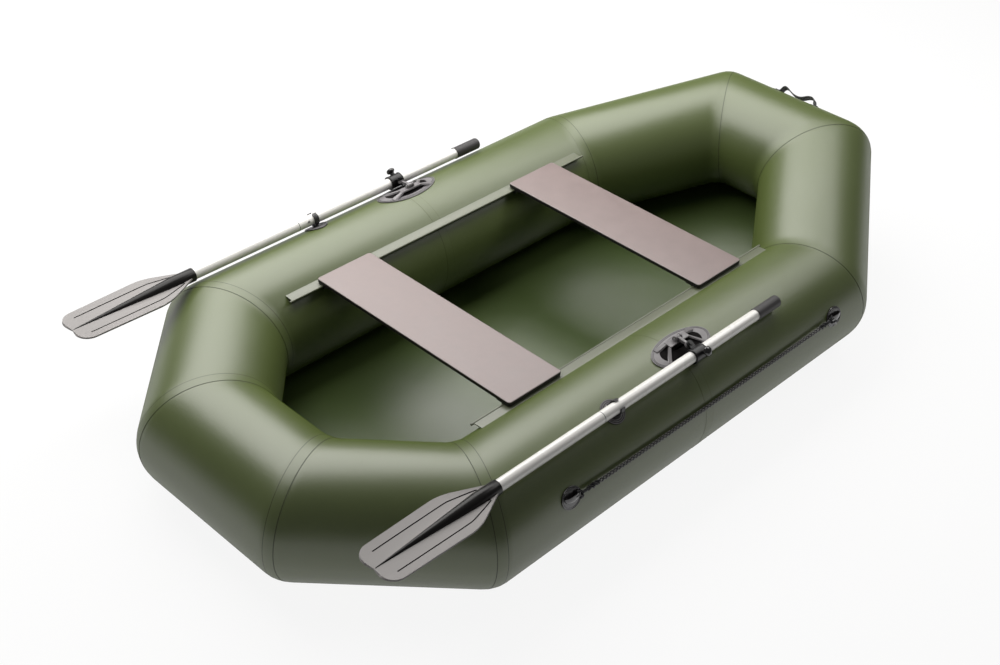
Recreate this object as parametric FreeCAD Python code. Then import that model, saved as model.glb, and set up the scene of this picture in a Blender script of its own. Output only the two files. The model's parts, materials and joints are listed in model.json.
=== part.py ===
"""Two-person inflatable rowing boat with oars, benches, oarlocks, grab lines and valves.

Frame: +X to the bow, +Y to port, +Z up, millimetres. The origin is at the bottom centre of the hull.
Pieces that sit on a side tube are built in the tube's own frame, where the tube's axis is the X axis and
an angle is measured from the crown, positive outboard to starboard. They are then moved to the starboard
tube, and mirrored for port.
"""
import math
import os

import FreeCAD
import Part
from FreeCAD import Vector

# ---------------------------------------------------------------- hull
TUBE_RADIUS = 170.0
TUBE_WALL = 0.9
SHEET_THICKNESS = 1.2
SIDE_Y = 475.0                      # from the middle to a side tube's axis
SIDE_STERN_X = -765.0               # where a side tube's axis meets the stern quarter
SIDE_BOW_X = 600.0
STERN_X = -1040.0
STERN_Y = 187.0
BOW_X = 1040.0
BOW_Y = 178.0
BOW_RISE = 118.0
BULKHEAD_THICKNESS = 0.9
GLUE_LINE = 0.1                     # between a tube's skin and what is glued on it

# ---------------------------------------------------------------- bench rails and benches
RAIL_ANGLE = -39.5                  # where a rail's flap leaves the tube
RAIL_STERN_X = -640.0
RAIL_BOW_X = 510.0
RAIL_BAND_WIDTH = 16.0
RAIL_BAND_THICKNESS = 1.5
FLAP_THICKNESS = 2.5
FLAP_REACH = 25.0                   # from the root to the bead's centre
FLAP_DIP = 4.0                      # how far the flap slopes down to the bead
FLAP_LEAD = 6.0                     # how far the flap starts outboard of its root
BEAD_RADIUS = 3.0
BEAD_OVERRUN = 8.0                  # how far the bead runs on past the flap at each end
RUNNER_WIDTH = 14.0
RUNNER_TOP = 4.6                    # from the bead's centre up to the bench
RUNNER_BOTTOM = 8.0
FLANGE_REACH = 18.0                 # the runner's screw flange, inboard of its channel
FLANGE_THICKNESS = 3.0
SLIDE_CLEARANCE = 0.3
SLOT_CLEARANCE = 0.6
BENCH_DEPTH = 190.0                 # fore and aft
BENCH_THICKNESS = 12.0
BENCH_OVERHANG = 21.0               # beyond the bead's centre
BENCH_CORNER = 8.0
BENCH_EDGE = 2.5
RUNNER_INSET = 2.0
STERN_BENCH_X = -443.0
BOW_BENCH_X = 303.0
SCREW_RADIUS = 2.0
SCREW_HEAD_RADIUS = 4.5
SCREW_HEAD_HEIGHT = 2.6
SCREW_BITE = 8.0                    # how far a screw goes up into its bench
SCREW_SPACING = 70.0

# ---------------------------------------------------------------- oars
SHAFT_ANGLE = 28.2
SHAFT_STANDOFF = 25.0               # from the tube's skin to the shaft's axis
SHAFT_RADIUS = 15.5
SHAFT_WALL = 1.5
SHAFT_INNER_END_X = 262.0
JOINT_X = -437.0
SPIGOT_LENGTH = 68.0
SPIGOT_FIT = 0.1
SHAFT_BLADE_END_X = -852.0
GRIP_START_X = 180.0
GRIP_END_X = 276.0
GRIP_RADIUS = 17.2
GRIP_ROUND = 5.0
NECK_X = -792.0
SOCKET_RADIUS = 19.0
SOCKET_END_X = -856.0
RIDGE_END_X = -1130.0
RIDGE_END_RADIUS = 3.2
BLADE_TIP_X = -1167.0
BLADE_SHOULDER_X = -925.0
BLADE_SHOULDER_HALF = 68.0
BLADE_SHOULDER_RUN = 60.0           # from the widest point to where the edge runs straight
BLADE_TIP_HALF = 64.0
BLADE_TIP_ROUND = 38.0
BLADE_TIP_DIP = 7.0
BLADE_THICKNESS = 6.0
BUTTON_X = -405.0
BUTTON_ANGLE = -60.0                # about the shaft, inboard of straight up
BUTTON_RADIUS = 3.2
BUTTON_PROUD = 3.0
BUTTON_FLANGE_RADIUS = 5.0
BUTTON_FLANGE = 1.2
BUTTON_RUN = 0.05
SPRING_STRIP = 0.6
SPRING_WIDTH = 7.0
SPRING_LENGTH = 42.0

# ---------------------------------------------------------------- oarlocks
LOCK_X = -68.0
PAD_ANGLE = 14.0
PAD_HALF_LENGTH = 106.0
PAD_HALF_WIDTH = 50.0
PAD_THICKNESS = 3.0
LEG_FOOT_X = 74.0
LEG_FOOT_SPREAD = 9.0               # degrees each side of the pad's middle
LEG_FOOT_WIDTH = 20.0
LEG_FOOT_TOP = 5.0
LEG_HUB_WIDTH = 11.0
LEG_HUB_BOTTOM = 9.5
LEG_HUB_TOP = 14.0
LEG_HUB_SPREAD = 2.0
HUB_ANGLE = 8.0
HUB_HALF_WIDTH = 11.0
HUB_HALF_LENGTH = 38.0
HUB_BOTTOM = 10.0
HUB_TOP = 14.0
EAR_INNER_X = 6.8
EAR_OUTER_X = 11.5
EAR_RADIUS = 7.0
DIP_PIN_ANGLE = 8.0
DIP_PIN_STAND = 20.0
DIP_PIN_RADIUS = 2.5
PIN_HEAD_RADIUS = 4.0
PIN_HEAD = 1.5
PIN_HEAD_GAP = 0.3
RUNNING_FIT = 0.05
ARM_EYE_RADIUS = 6.0
ARM_SIDE_GAP = 0.5
ARM_WIDTH = 8.0
ARM_DEPTH = 9.0
SWING_TILT = 30.0                   # how far the swing pin leans outboard
COLLAR_REACH = 31.0                 # from the swing pin to the shaft's axis
SWING_EYE_RADIUS = 9.0
SWING_EYE_HEIGHT = 8.0
LUG_HEIGHT = 6.0
LUG_GAP = 0.3
SWING_PIN_RADIUS = 3.0
SWING_HEAD_RADIUS = 6.0
SWING_HEAD = 2.4
SWING_NUT = 3.0
COLLAR_LENGTH = 44.0
COLLAR_WALL = 4.0
KNOB_ANGLE = 54.0                   # about the shaft, outboard of straight up
KNOB_X = LOCK_X + 8.0
BOSS_RADIUS = 7.0
BOSS_HEIGHT = 6.0
KNOB_GAP = 0.5
KNOB_RADIUS = 10.0
KNOB_HEIGHT = 12.0
KNOB_LOBES = 6
KNOB_LOBE_RADIUS = 3.0
KNOB_SCREW_RADIUS = 3.0

# ---------------------------------------------------------------- oar clips
CLIP_X = -378.0
CLIP_PAD_RADIUS = 34.0
CLIP_PAD_THICKNESS = 2.5
CLIP_LENGTH = 14.0
CLIP_GAP = 0.3
CLIP_WALL = 4.2
CLIP_MOUTH = 23.0
CLIP_STEM_RADIUS = 9.0

# ---------------------------------------------------------------- grab lines
EYE_XS = (-605.0, 480.0)
EYE_ANGLES = (68.0, 70.8)
EYE_HALF_LENGTH = 33.0
EYE_HALF_WIDTH = 28.0
EYE_THICKNESS = 2.5
EYE_BRIDGE_HALF = 25.0              # along the tube
EYE_BRIDGE_WIDTH = 20.0
EYE_BRIDGE_RISE = 16.0
EYE_BRIDGE_WALL = 4.0
ROPE_RADIUS = 5.0
ROPE_STANDOFF = 10.2                # from the tube's skin to the rope's middle, at the knots
ROPE_SAG_ANGLE = 1.2
ROPE_SAG_IN = 3.7
ROPE_XS = (-520.0, -448.0, -356.0, -246.0, -122.0, 12.0, 138.0, 242.0, 334.0, 400.0)
KNOT_RADIUS = 8.0
KNOT_GAP = 0.3
KNOT_ROUND = 4.0

# ---------------------------------------------------------------- bow handle
HANDLE_ANGLE = 45.0
HANDLE_PAD_Y = 72.0
HANDLE_PAD_HALF = 24.0
HANDLE_PAD_THICKNESS = 2.5
HANDLE_WIDTH = 28.0
HANDLE_THICKNESS = 3.0
HANDLE_ARCH = 20.0
HANDLE_FOOT = 18.0

# ---------------------------------------------------------------- valves
VALVE_XS = {"stern": -560.0, "bow": 440.0}
VALVE_ANGLE = -84.0
VALVE_FLANGE_RADIUS = 25.0
VALVE_FLANGE = 3.0
VALVE_BARREL_RADIUS = 13.0
VALVE_BORE_RADIUS = 9.0
VALVE_RIM = 9.0                     # above the tube's skin
VALVE_FLOOR_TOP = -10.0
VALVE_FLOOR = 4.0
VALVE_VENTS = 4
VALVE_VENT_RADIUS = 1.6
VALVE_VENT_CIRCLE = 6.2
STEM_RADIUS = 2.2
STEM_TOP = 4.0
STEM_HEAD_RADIUS = 5.5
STEM_HEAD = 2.0
SEAL_RADIUS = 8.4
SEAL_THICKNESS = 2.5
SEAL_GAP = 0.3
COIL_RADIUS = 4.2
COIL_WIRE = 0.6
COIL_TURNS = 5
CAP_GAP = 0.3
CAP_WALL = 2.8
CAP_TOP = 3.0
CAP_RIBS = 12
CAP_RIB_RADIUS = 1.0

ORIGIN = Vector(0, 0, 0)
X_AXIS = Vector(1, 0, 0)
Y_AXIS = Vector(0, 1, 0)
Z_AXIS = Vector(0, 0, 1)
AXIS_Z = SHEET_THICKNESS + TUBE_RADIUS
BOW_PITCH = math.atan2(BOW_RISE, BOW_X - SIDE_BOW_X)
BULKHEAD_X = (SIDE_STERN_X + SIDE_BOW_X) / 2
NODES = {}


# ---------------------------------------------------------------- helpers
def radial(angle, radius, x=0.0):
    """The point at an angle outboard of the crown and a distance from the tube's axis."""
    turn = math.radians(angle)
    return Vector(x, -radius * math.sin(turn), radius * math.cos(turn))


def rod(start, direction, length, radius):
    return Part.makeCylinder(radius, length, start, direction)


def skin(inner, outer, x_start, x_end):
    """A hollow cylinder round the tube's axis."""
    start = Vector(x_start, 0, 0)
    length = x_end - x_start
    return rod(start, X_AXIS, length, outer).cut(rod(start, X_AXIS, length, inner))


def patch(x, angle, half_length, half_round, thickness):
    """An oval patch that follows the tube's skin."""
    long_half = max(half_length, half_round)
    short_half = min(half_length, half_round)
    outline = Part.Wire(Part.Ellipse(ORIGIN, long_half, short_half).toShape())
    prism = Part.Face(outline).extrude(Vector(0, 0, 2 * TUBE_RADIUS))
    if half_round > half_length:
        prism.rotate(ORIGIN, Z_AXIS, 90)
    prism.translate(Vector(x, 0, 0))
    band = skin(TUBE_RADIUS + GLUE_LINE, TUBE_RADIUS + thickness, x - long_half - 1, x + long_half + 1)
    oval = prism.common(band)
    oval.rotate(ORIGIN, X_AXIS, angle)
    return oval


def slab(corners, x_start, x_end):
    """A flat-sided bar: corners in the cross-section plane, stretched along X."""
    points = [Vector(x_start, point.y, point.z) for point in corners]
    face = Part.Face(Part.makePolygon(points + points[:1]))
    return face.extrude(Vector(x_end - x_start, 0, 0))


def fuse(*shapes):
    joined = shapes[0].multiFuse(list(shapes[1:]))
    return joined.removeSplitter()


def to_side(shape, side):
    """Move a piece from the tube's frame to the starboard tube, or its mirror image to port."""
    placed = shape.copy()
    placed.translate(Vector(0, -SIDE_Y, AXIS_Z))
    if side == "port":
        placed = placed.mirror(ORIGIN, Y_AXIS)
    return placed


def keep(name, *shapes):
    """Store a node's solids under its name."""
    solids = [solid for shape in shapes for solid in shape.Solids]
    NODES[name] = solids[0] if len(solids) == 1 else Part.makeCompound(solids)


# ---------------------------------------------------------------- hull
def hull_corners():
    """The corners of the tubes' centreline, going round from the stern's port corner."""
    high = AXIS_Z + BOW_RISE
    return {
        "stern_port": Vector(STERN_X, STERN_Y, AXIS_Z),
        "side_stern_port": Vector(SIDE_STERN_X, SIDE_Y, AXIS_Z),
        "side_bow_port": Vector(SIDE_BOW_X, SIDE_Y, AXIS_Z),
        "bow_port": Vector(BOW_X, BOW_Y, high),
        "bow_starboard": Vector(BOW_X, -BOW_Y, high),
        "side_bow_starboard": Vector(SIDE_BOW_X, -SIDE_Y, AXIS_Z),
        "side_stern_starboard": Vector(SIDE_STERN_X, -SIDE_Y, AXIS_Z),
        "stern_starboard": Vector(STERN_X, -STERN_Y, AXIS_Z),
    }


TUBE_NAMES = ("tube_quarter_stern_port", "tube_side_port", "tube_quarter_bow_port", "tube_bow",
              "tube_quarter_bow_starboard", "tube_side_starboard", "tube_quarter_stern_starboard",
              "tube_stern")


def unit(vector):
    copy = Vector(vector)
    return copy.normalize()


def mitred_tube(before, start, end, after):
    """One tube of the hull, cut at both ends on the plane it shares with its neighbour."""
    along = unit(end - start)
    overrun = 2 * TUBE_RADIUS
    length = (end - start).Length + 2 * overrun
    base = start - along * overrun
    tube = rod(base, along, length, TUBE_RADIUS).cut(rod(base, along, length, TUBE_RADIUS - TUBE_WALL))
    start_normal = unit(unit(start - before) + along)
    end_normal = unit(along + unit(after - end))
    tube = tube.cut(rod(start, start_normal * -1, 3 * overrun, 3 * TUBE_RADIUS))
    return tube.cut(rod(end, end_normal, 3 * overrun, 3 * TUBE_RADIUS))


def valve_hole(x):
    """The hole that a valve's barrel needs in the starboard tube."""
    hole = rod(radial(VALVE_ANGLE, TUBE_RADIUS / 2, x), radial(VALVE_ANGLE, 1), TUBE_RADIUS,
               VALVE_BARREL_RADIUS)
    return to_side(hole, "starboard")


def make_tubes():
    corners = list(hull_corners().values())
    count = len(corners)
    for index, name in enumerate(TUBE_NAMES):
        tube = mitred_tube(corners[index - 1], corners[index], corners[(index + 1) % count],
                           corners[(index + 2) % count])
        if name == "tube_side_starboard":
            for x in VALVE_XS.values():
                tube = tube.cut(valve_hole(x))
        keep(name, tube)


def make_bulkheads():
    """The baffle across each side tube that parts the stern chamber from the bow chamber."""
    start = Vector(BULKHEAD_X - BULKHEAD_THICKNESS / 2, 0, 0)
    disc = rod(start, X_AXIS, BULKHEAD_THICKNESS, TUBE_RADIUS - TUBE_WALL)
    for side in ("port", "starboard"):
        keep("bulkhead_" + side, to_side(disc, side))


def make_floor():
    """The bottom sheet: flat, then rising under the bow, with its edge on the tubes' lowest lines."""
    bend_x = SIDE_BOW_X + TUBE_RADIUS * math.tan(BOW_PITCH / 2)
    front_x = BOW_X + TUBE_RADIUS * math.sin(BOW_PITCH)
    front_z = AXIS_Z + BOW_RISE - TUBE_RADIUS * math.cos(BOW_PITCH)
    under_x = front_x + SHEET_THICKNESS * math.sin(BOW_PITCH)
    under_z = front_z - SHEET_THICKNESS * math.cos(BOW_PITCH)
    under_bend_x = bend_x + SHEET_THICKNESS * math.tan(BOW_PITCH / 2)
    section = [(STERN_X, SHEET_THICKNESS), (bend_x, SHEET_THICKNESS), (front_x, front_z),
               (under_x, under_z), (under_bend_x, 0), (STERN_X, 0)]
    points = [Vector(x, -SIDE_Y, z) for x, z in section]
    sheet = Part.Face(Part.makePolygon(points + points[:1])).extrude(Vector(0, 2 * SIDE_Y, 0))
    shift = TUBE_RADIUS * math.sin(BOW_PITCH)
    half = [(STERN_X, STERN_Y), (SIDE_STERN_X, SIDE_Y), (SIDE_BOW_X + shift, SIDE_Y),
            (BOW_X + shift, BOW_Y)]
    outline = half + [(x, -y) for x, y in reversed(half)]
    points = [Vector(x, y, -1) for x, y in outline]
    plan = Part.Face(Part.makePolygon(points + points[:1])).extrude(Vector(0, 0, 2 * TUBE_RADIUS))
    keep("floor_sheet", sheet.common(plan))


# ---------------------------------------------------------------- bench rails and benches
def flap_root():
    return radial(RAIL_ANGLE, TUBE_RADIUS + RAIL_BAND_THICKNESS)


def bead_centre():
    dip = math.radians(FLAP_DIP)
    return flap_root() + Vector(0, math.cos(dip), -math.sin(dip)) * FLAP_REACH


def bead_height():
    return AXIS_Z + bead_centre().z


def bead_y():
    """How far a bead is from the boat's middle."""
    return SIDE_Y - bead_centre().y


def along_flap(x_start, x_end, start, end, thickness):
    """A flat bar in a flap's plane, between two distances inboard of its root."""
    root = flap_root()
    bar = Part.makeBox(x_end - x_start, end - start, thickness,
                       Vector(x_start, root.y + start, root.z - thickness / 2))
    bar.rotate(root, X_AXIS, -FLAP_DIP)
    return bar


def make_rails():
    """A band glued on the inner side of each side tube, with a flap and a round bead along its edge."""
    length = RAIL_BOW_X - RAIL_STERN_X
    block = Part.makeBox(length, RAIL_BAND_WIDTH, 2 * TUBE_RADIUS, Vector(RAIL_STERN_X, 0, 0))
    block.rotate(ORIGIN, X_AXIS, RAIL_ANGLE)
    band = skin(TUBE_RADIUS + GLUE_LINE, TUBE_RADIUS + RAIL_BAND_THICKNESS, RAIL_STERN_X, RAIL_BOW_X)
    flap = along_flap(RAIL_STERN_X, RAIL_BOW_X, -FLAP_LEAD, FLAP_REACH, FLAP_THICKNESS)
    flap = flap.cut(rod(Vector(RAIL_STERN_X, 0, 0), X_AXIS, length, TUBE_RADIUS + GLUE_LINE))
    bead = rod(bead_centre() - X_AXIS * (BEAD_OVERRUN - RAIL_STERN_X), X_AXIS,
               length + 2 * BEAD_OVERRUN, BEAD_RADIUS)
    rail = fuse(band.common(block), flap, bead)
    for side in ("port", "starboard"):
        keep("seat_rail_" + side, to_side(rail, side))


def runner(x):
    """The channel under a bench's end that slides along a rail's bead, in the tube's frame."""
    centre = bead_centre()
    length = BENCH_DEPTH - 2 * RUNNER_INSET
    start_x = x - length / 2
    top = centre.z + RUNNER_TOP
    bar = Part.makeBox(length, RUNNER_WIDTH, RUNNER_TOP + RUNNER_BOTTOM,
                       Vector(start_x, centre.y - RUNNER_WIDTH / 2, centre.z - RUNNER_BOTTOM))
    flange = Part.makeBox(length, RUNNER_WIDTH / 2 + FLANGE_REACH, FLANGE_THICKNESS,
                          Vector(start_x, centre.y, top - FLANGE_THICKNESS))
    bore = rod(Vector(start_x, centre.y, centre.z), X_AXIS, length, BEAD_RADIUS + SLIDE_CLEARANCE)
    slot = along_flap(start_x, start_x + length, FLAP_REACH - RUNNER_WIDTH, FLAP_REACH,
                      FLAP_THICKNESS + 2 * SLOT_CLEARANCE)
    return fuse(bar, flange).cut(bore).cut(slot)


def bench_screw(x, y, under):
    """A screw with a coned head, up through a runner's flange into the bench."""
    base = under - FLANGE_THICKNESS - SCREW_HEAD_HEIGHT
    head = Part.makeCone(SCREW_HEAD_RADIUS, SCREW_RADIUS, SCREW_HEAD_HEIGHT, Vector(x, y, base), Z_AXIS)
    shank = rod(Vector(x, y, base), Z_AXIS, SCREW_HEAD_HEIGHT + FLANGE_THICKNESS + SCREW_BITE, SCREW_RADIUS)
    return fuse(head, shank)


def make_bench(name, x):
    under = bead_height() + RUNNER_TOP
    half = bead_y() + BENCH_OVERHANG
    board = Part.makeBox(BENCH_DEPTH, 2 * half, BENCH_THICKNESS, Vector(x - BENCH_DEPTH / 2, -half, under))
    upright = [edge for edge in board.Edges if abs(edge.tangentAt(edge.FirstParameter).z) > 0.99]
    board = board.makeFillet(BENCH_CORNER, upright)
    rims = [edge for edge in board.Edges if edge.BoundBox.ZLength < 0.01]
    board = board.makeFillet(min(BENCH_EDGE, 0.4 * BENCH_THICKNESS), rims)
    runners = [to_side(runner(x), side) for side in ("port", "starboard")]
    screw_y = bead_y() - RUNNER_WIDTH / 2 - FLANGE_REACH / 2
    screws = []
    for end in (-1, 1):
        for step in (-1, 0, 1):
            screws.append(bench_screw(x + step * SCREW_SPACING, end * screw_y, under))
    for screw in screws:
        board = board.cut(screw)
        runners = [bar.cut(screw) for bar in runners]
    keep(name + "_bench_board", board)
    keep(name + "_bench_runners", *runners)
    keep(name + "_bench_screws", *screws)


# ---------------------------------------------------------------- oars
def shaft_point(x):
    return radial(SHAFT_ANGLE, TUBE_RADIUS + SHAFT_STANDOFF, x)


def about_shaft(angle):
    """The direction at an angle outboard of straight up, seen along the shaft."""
    return radial(angle, 1)


def shaft_tube(x_start, x_end, outer, inner):
    length = x_end - x_start
    start = shaft_point(x_start)
    return rod(start, X_AXIS, length, outer).cut(rod(start, X_AXIS, length, inner))


def button_hole():
    start = shaft_point(BUTTON_X)
    return rod(start, about_shaft(BUTTON_ANGLE), 2 * SHAFT_RADIUS, BUTTON_RADIUS + BUTTON_RUN)


def knob_bore(extra):
    start = shaft_point(KNOB_X)
    return rod(start, about_shaft(KNOB_ANGLE), 3 * SHAFT_RADIUS, KNOB_SCREW_RADIUS + extra)


def spigot_radius():
    return SHAFT_RADIUS - SHAFT_WALL - SPIGOT_FIT


def upper_shaft():
    tube = shaft_tube(JOINT_X, SHAFT_INNER_END_X, SHAFT_RADIUS, SHAFT_RADIUS - SHAFT_WALL)
    return tube.cut(button_hole())


def lower_shaft():
    """The blade half of the shaft, with a narrower spigot that plugs into the upper half."""
    spigot_inner = spigot_radius() - SHAFT_WALL
    main = shaft_tube(SHAFT_BLADE_END_X, JOINT_X, SHAFT_RADIUS, spigot_inner)
    spigot = shaft_tube(JOINT_X, JOINT_X + SPIGOT_LENGTH, spigot_radius(), spigot_inner)
    return fuse(main, spigot).cut(button_hole())


def grip():
    length = GRIP_END_X - GRIP_START_X
    body = rod(shaft_point(GRIP_START_X), X_AXIS, length, GRIP_RADIUS)
    ends = [edge for edge in body.Edges if edge.Closed]
    body = body.makeFillet(GRIP_ROUND, [edge for edge in ends if edge.BoundBox.XMax > GRIP_END_X - 1])
    bore = rod(shaft_point(GRIP_START_X), X_AXIS, SHAFT_INNER_END_X - GRIP_START_X, SHAFT_RADIUS)
    return body.cut(bore)


def blade():
    """A flat blade with a socket for the shaft and a tapering ridge along its middle."""
    root_x = NECK_X - 8
    root_half = SOCKET_RADIUS - 3
    near_x = (root_x + 2 * BLADE_SHOULDER_X) / 3
    near_half = 0.84 * BLADE_SHOULDER_HALF
    far_x = BLADE_SHOULDER_X - BLADE_SHOULDER_RUN
    far_half = 0.985 * BLADE_SHOULDER_HALF
    corner_x = BLADE_TIP_X + BLADE_TIP_ROUND
    bend = math.sqrt(0.5)
    mid_x = corner_x - bend * BLADE_TIP_ROUND
    mid_half = BLADE_TIP_HALF - (1 - bend) * BLADE_TIP_ROUND
    lobe_half = BLADE_TIP_HALF - BLADE_TIP_ROUND
    dip_x = BLADE_TIP_X + BLADE_TIP_DIP

    def edges(sign):
        return [
            Part.LineSegment(Vector(root_x, sign * root_half, 0), Vector(near_x, sign * near_half, 0)),
            Part.Arc(Vector(near_x, sign * near_half, 0),
                     Vector(BLADE_SHOULDER_X, sign * BLADE_SHOULDER_HALF, 0),
                     Vector(far_x, sign * far_half, 0)),
            Part.LineSegment(Vector(far_x, sign * far_half, 0), Vector(corner_x, sign * BLADE_TIP_HALF, 0)),
            Part.Arc(Vector(corner_x, sign * BLADE_TIP_HALF, 0), Vector(mid_x, sign * mid_half, 0),
                     Vector(BLADE_TIP_X, sign * lobe_half, 0)),
            Part.LineSegment(Vector(BLADE_TIP_X, sign * lobe_half, 0), Vector(dip_x, 0, 0)),
        ]

    port = [curve.toShape() for curve in edges(1)]
    starboard = [curve.toShape() for curve in edges(-1)]
    root = Part.LineSegment(Vector(root_x, -root_half, 0), Vector(root_x, root_half, 0)).toShape()
    outline = Part.Wire(Part.sortEdges(port + starboard + [root])[0])
    plate = Part.Face(outline).extrude(Vector(0, 0, BLADE_THICKNESS))
    plate.translate(Vector(0, 0, -BLADE_THICKNESS / 2))
    plate.translate(shaft_point(0))
    socket = rod(shaft_point(SOCKET_END_X), X_AXIS, NECK_X - SOCKET_END_X, SOCKET_RADIUS)
    ridge = Part.makeCone(RIDGE_END_RADIUS, SOCKET_RADIUS, SOCKET_END_X - RIDGE_END_X,
                          shaft_point(RIDGE_END_X), X_AXIS)
    bore = rod(shaft_point(SHAFT_BLADE_END_X), X_AXIS, NECK_X - SHAFT_BLADE_END_X, SHAFT_RADIUS)
    return fuse(plate, socket, ridge).cut(bore)


def snap_button():
    """The sprung button that locks the two halves of the shaft."""
    direction = about_shaft(BUTTON_ANGLE)
    flange_top = spigot_radius() - SHAFT_WALL - BUTTON_FLANGE
    flange = rod(shaft_point(BUTTON_X) + direction * (flange_top - BUTTON_FLANGE), direction,
                 BUTTON_FLANGE, BUTTON_FLANGE_RADIUS)
    stem_length = SHAFT_RADIUS + BUTTON_PROUD - flange_top
    stem = rod(shaft_point(BUTTON_X) + direction * flange_top, direction, stem_length, BUTTON_RADIUS)
    return fuse(flange, stem)


def snap_spring():
    """A bent strip inside the shaft that pushes the button out."""
    reach = spigot_radius() - SHAFT_WALL - 2 * BUTTON_FLANGE - 0.3
    wall = spigot_radius() - SHAFT_WALL - 1.0
    top_near = Vector(BUTTON_X + BUTTON_FLANGE_RADIUS, 0, reach)
    top_far = Vector(BUTTON_X - BUTTON_FLANGE_RADIUS, 0, reach)
    tip = Vector(BUTTON_X - BUTTON_FLANGE_RADIUS - SPRING_LENGTH / 2, 0, 0)
    low = Vector(BUTTON_X + BUTTON_FLANGE_RADIUS, 0, -wall)
    down = Vector(0, 0, -SPRING_STRIP)
    back = Vector(SPRING_STRIP * 2, 0, 0)
    points = [top_near, top_far, tip, low, low - down, tip + back, top_far + down + back / 2,
              top_near + down]
    strip = Part.Face(Part.makePolygon(points + points[:1])).extrude(Vector(0, SPRING_WIDTH, 0))
    strip.translate(Vector(0, -SPRING_WIDTH / 2, 0))
    strip.rotate(ORIGIN, X_AXIS, BUTTON_ANGLE)
    strip.translate(shaft_point(0))
    return strip


# ---------------------------------------------------------------- oarlocks
def swing_axis():
    return radial(SWING_TILT, 1)


def swing_outboard():
    """Outboard along the plane that the oar swings in."""
    return radial(SWING_TILT + 90, 1)


def swing_centre():
    return shaft_point(LOCK_X) - swing_outboard() * COLLAR_REACH


def dip_centre():
    return radial(DIP_PIN_ANGLE, TUBE_RADIUS + DIP_PIN_STAND, LOCK_X)


def leg_section(x, angle, width, bottom, top):
    """A four-cornered section of a leg, across the tube."""
    middle_low = radial(angle, TUBE_RADIUS + bottom, x)
    middle_high = radial(angle, TUBE_RADIUS + top, x)
    sideways = radial(angle + 90, width / 2)
    points = [middle_low - sideways, middle_low + sideways, middle_high + sideways * 0.6,
              middle_high - sideways * 0.6]
    return Part.makePolygon(points + points[:1])


def lock_base():
    """The glued pad, a bridge of four splayed straps under a long bar, and the dip pin's two ears."""
    pad = patch(LOCK_X, PAD_ANGLE, PAD_HALF_LENGTH, PAD_HALF_WIDTH, PAD_THICKNESS)
    legs = []
    for end in (-1, 1):
        for lean in (-1, 1):
            foot = leg_section(LOCK_X + end * LEG_FOOT_X, PAD_ANGLE + lean * LEG_FOOT_SPREAD,
                               LEG_FOOT_WIDTH, PAD_THICKNESS / 2, LEG_FOOT_TOP)
            top = leg_section(LOCK_X + end * (HUB_HALF_LENGTH - 3), HUB_ANGLE + lean * LEG_HUB_SPREAD,
                              LEG_HUB_WIDTH, LEG_HUB_BOTTOM, LEG_HUB_TOP)
            legs.append(Part.makeLoft([foot, top], True, True))
    hub = Part.makeBox(2 * HUB_HALF_LENGTH, 2 * HUB_HALF_WIDTH, HUB_TOP - HUB_BOTTOM,
                       Vector(LOCK_X - HUB_HALF_LENGTH, -HUB_HALF_WIDTH, TUBE_RADIUS + HUB_BOTTOM))
    hub.rotate(ORIGIN, X_AXIS, HUB_ANGLE)
    ears = []
    for end in (-1, 1):
        start_x = LOCK_X + min(end * EAR_INNER_X, end * EAR_OUTER_X)
        width = EAR_OUTER_X - EAR_INNER_X
        centre = Vector(start_x, dip_centre().y, dip_centre().z)
        ring = rod(centre, X_AXIS, width, EAR_RADIUS)
        root = Part.makeBox(width, 2 * EAR_RADIUS, DIP_PIN_STAND - HUB_BOTTOM,
                            Vector(start_x, -EAR_RADIUS, TUBE_RADIUS + HUB_BOTTOM))
        root.rotate(ORIGIN, X_AXIS, DIP_PIN_ANGLE)
        ears += [ring, root]
    room = rod(Vector(LOCK_X - EAR_INNER_X, dip_centre().y, dip_centre().z), X_AXIS, 2 * EAR_INNER_X,
               ARM_EYE_RADIUS + ARM_SIDE_GAP)
    above = Part.makeBox(2 * EAR_INNER_X, 4 * HUB_HALF_WIDTH, 2 * DIP_PIN_STAND,
                         Vector(LOCK_X - EAR_INNER_X, -2 * HUB_HALF_WIDTH, TUBE_RADIUS + HUB_TOP))
    above.rotate(ORIGIN, X_AXIS, HUB_ANGLE)
    base = fuse(pad, hub, *legs, *ears)
    hole = rod(dip_centre() - X_AXIS * 2 * EAR_OUTER_X, X_AXIS, 4 * EAR_OUTER_X, DIP_PIN_RADIUS)
    base = base.cut(room).cut(above).cut(hole)
    for end in (-1, 1):
        recess = rod(dip_centre() + X_AXIS * end * EAR_OUTER_X, X_AXIS * end, EAR_OUTER_X,
                     PIN_HEAD_RADIUS + PIN_HEAD_GAP)
        base = base.cut(recess)
    return base


def dip_pin():
    """The fore-and-aft pin that the arm rocks on, with a low head at each end."""
    start = dip_centre() - X_AXIS * EAR_OUTER_X
    pin = rod(start, X_AXIS, 2 * EAR_OUTER_X, DIP_PIN_RADIUS)
    heads = [rod(start - X_AXIS * PIN_HEAD, X_AXIS, PIN_HEAD, PIN_HEAD_RADIUS),
             rod(start + X_AXIS * 2 * EAR_OUTER_X, X_AXIS, PIN_HEAD, PIN_HEAD_RADIUS)]
    return fuse(pin, *heads)


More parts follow.
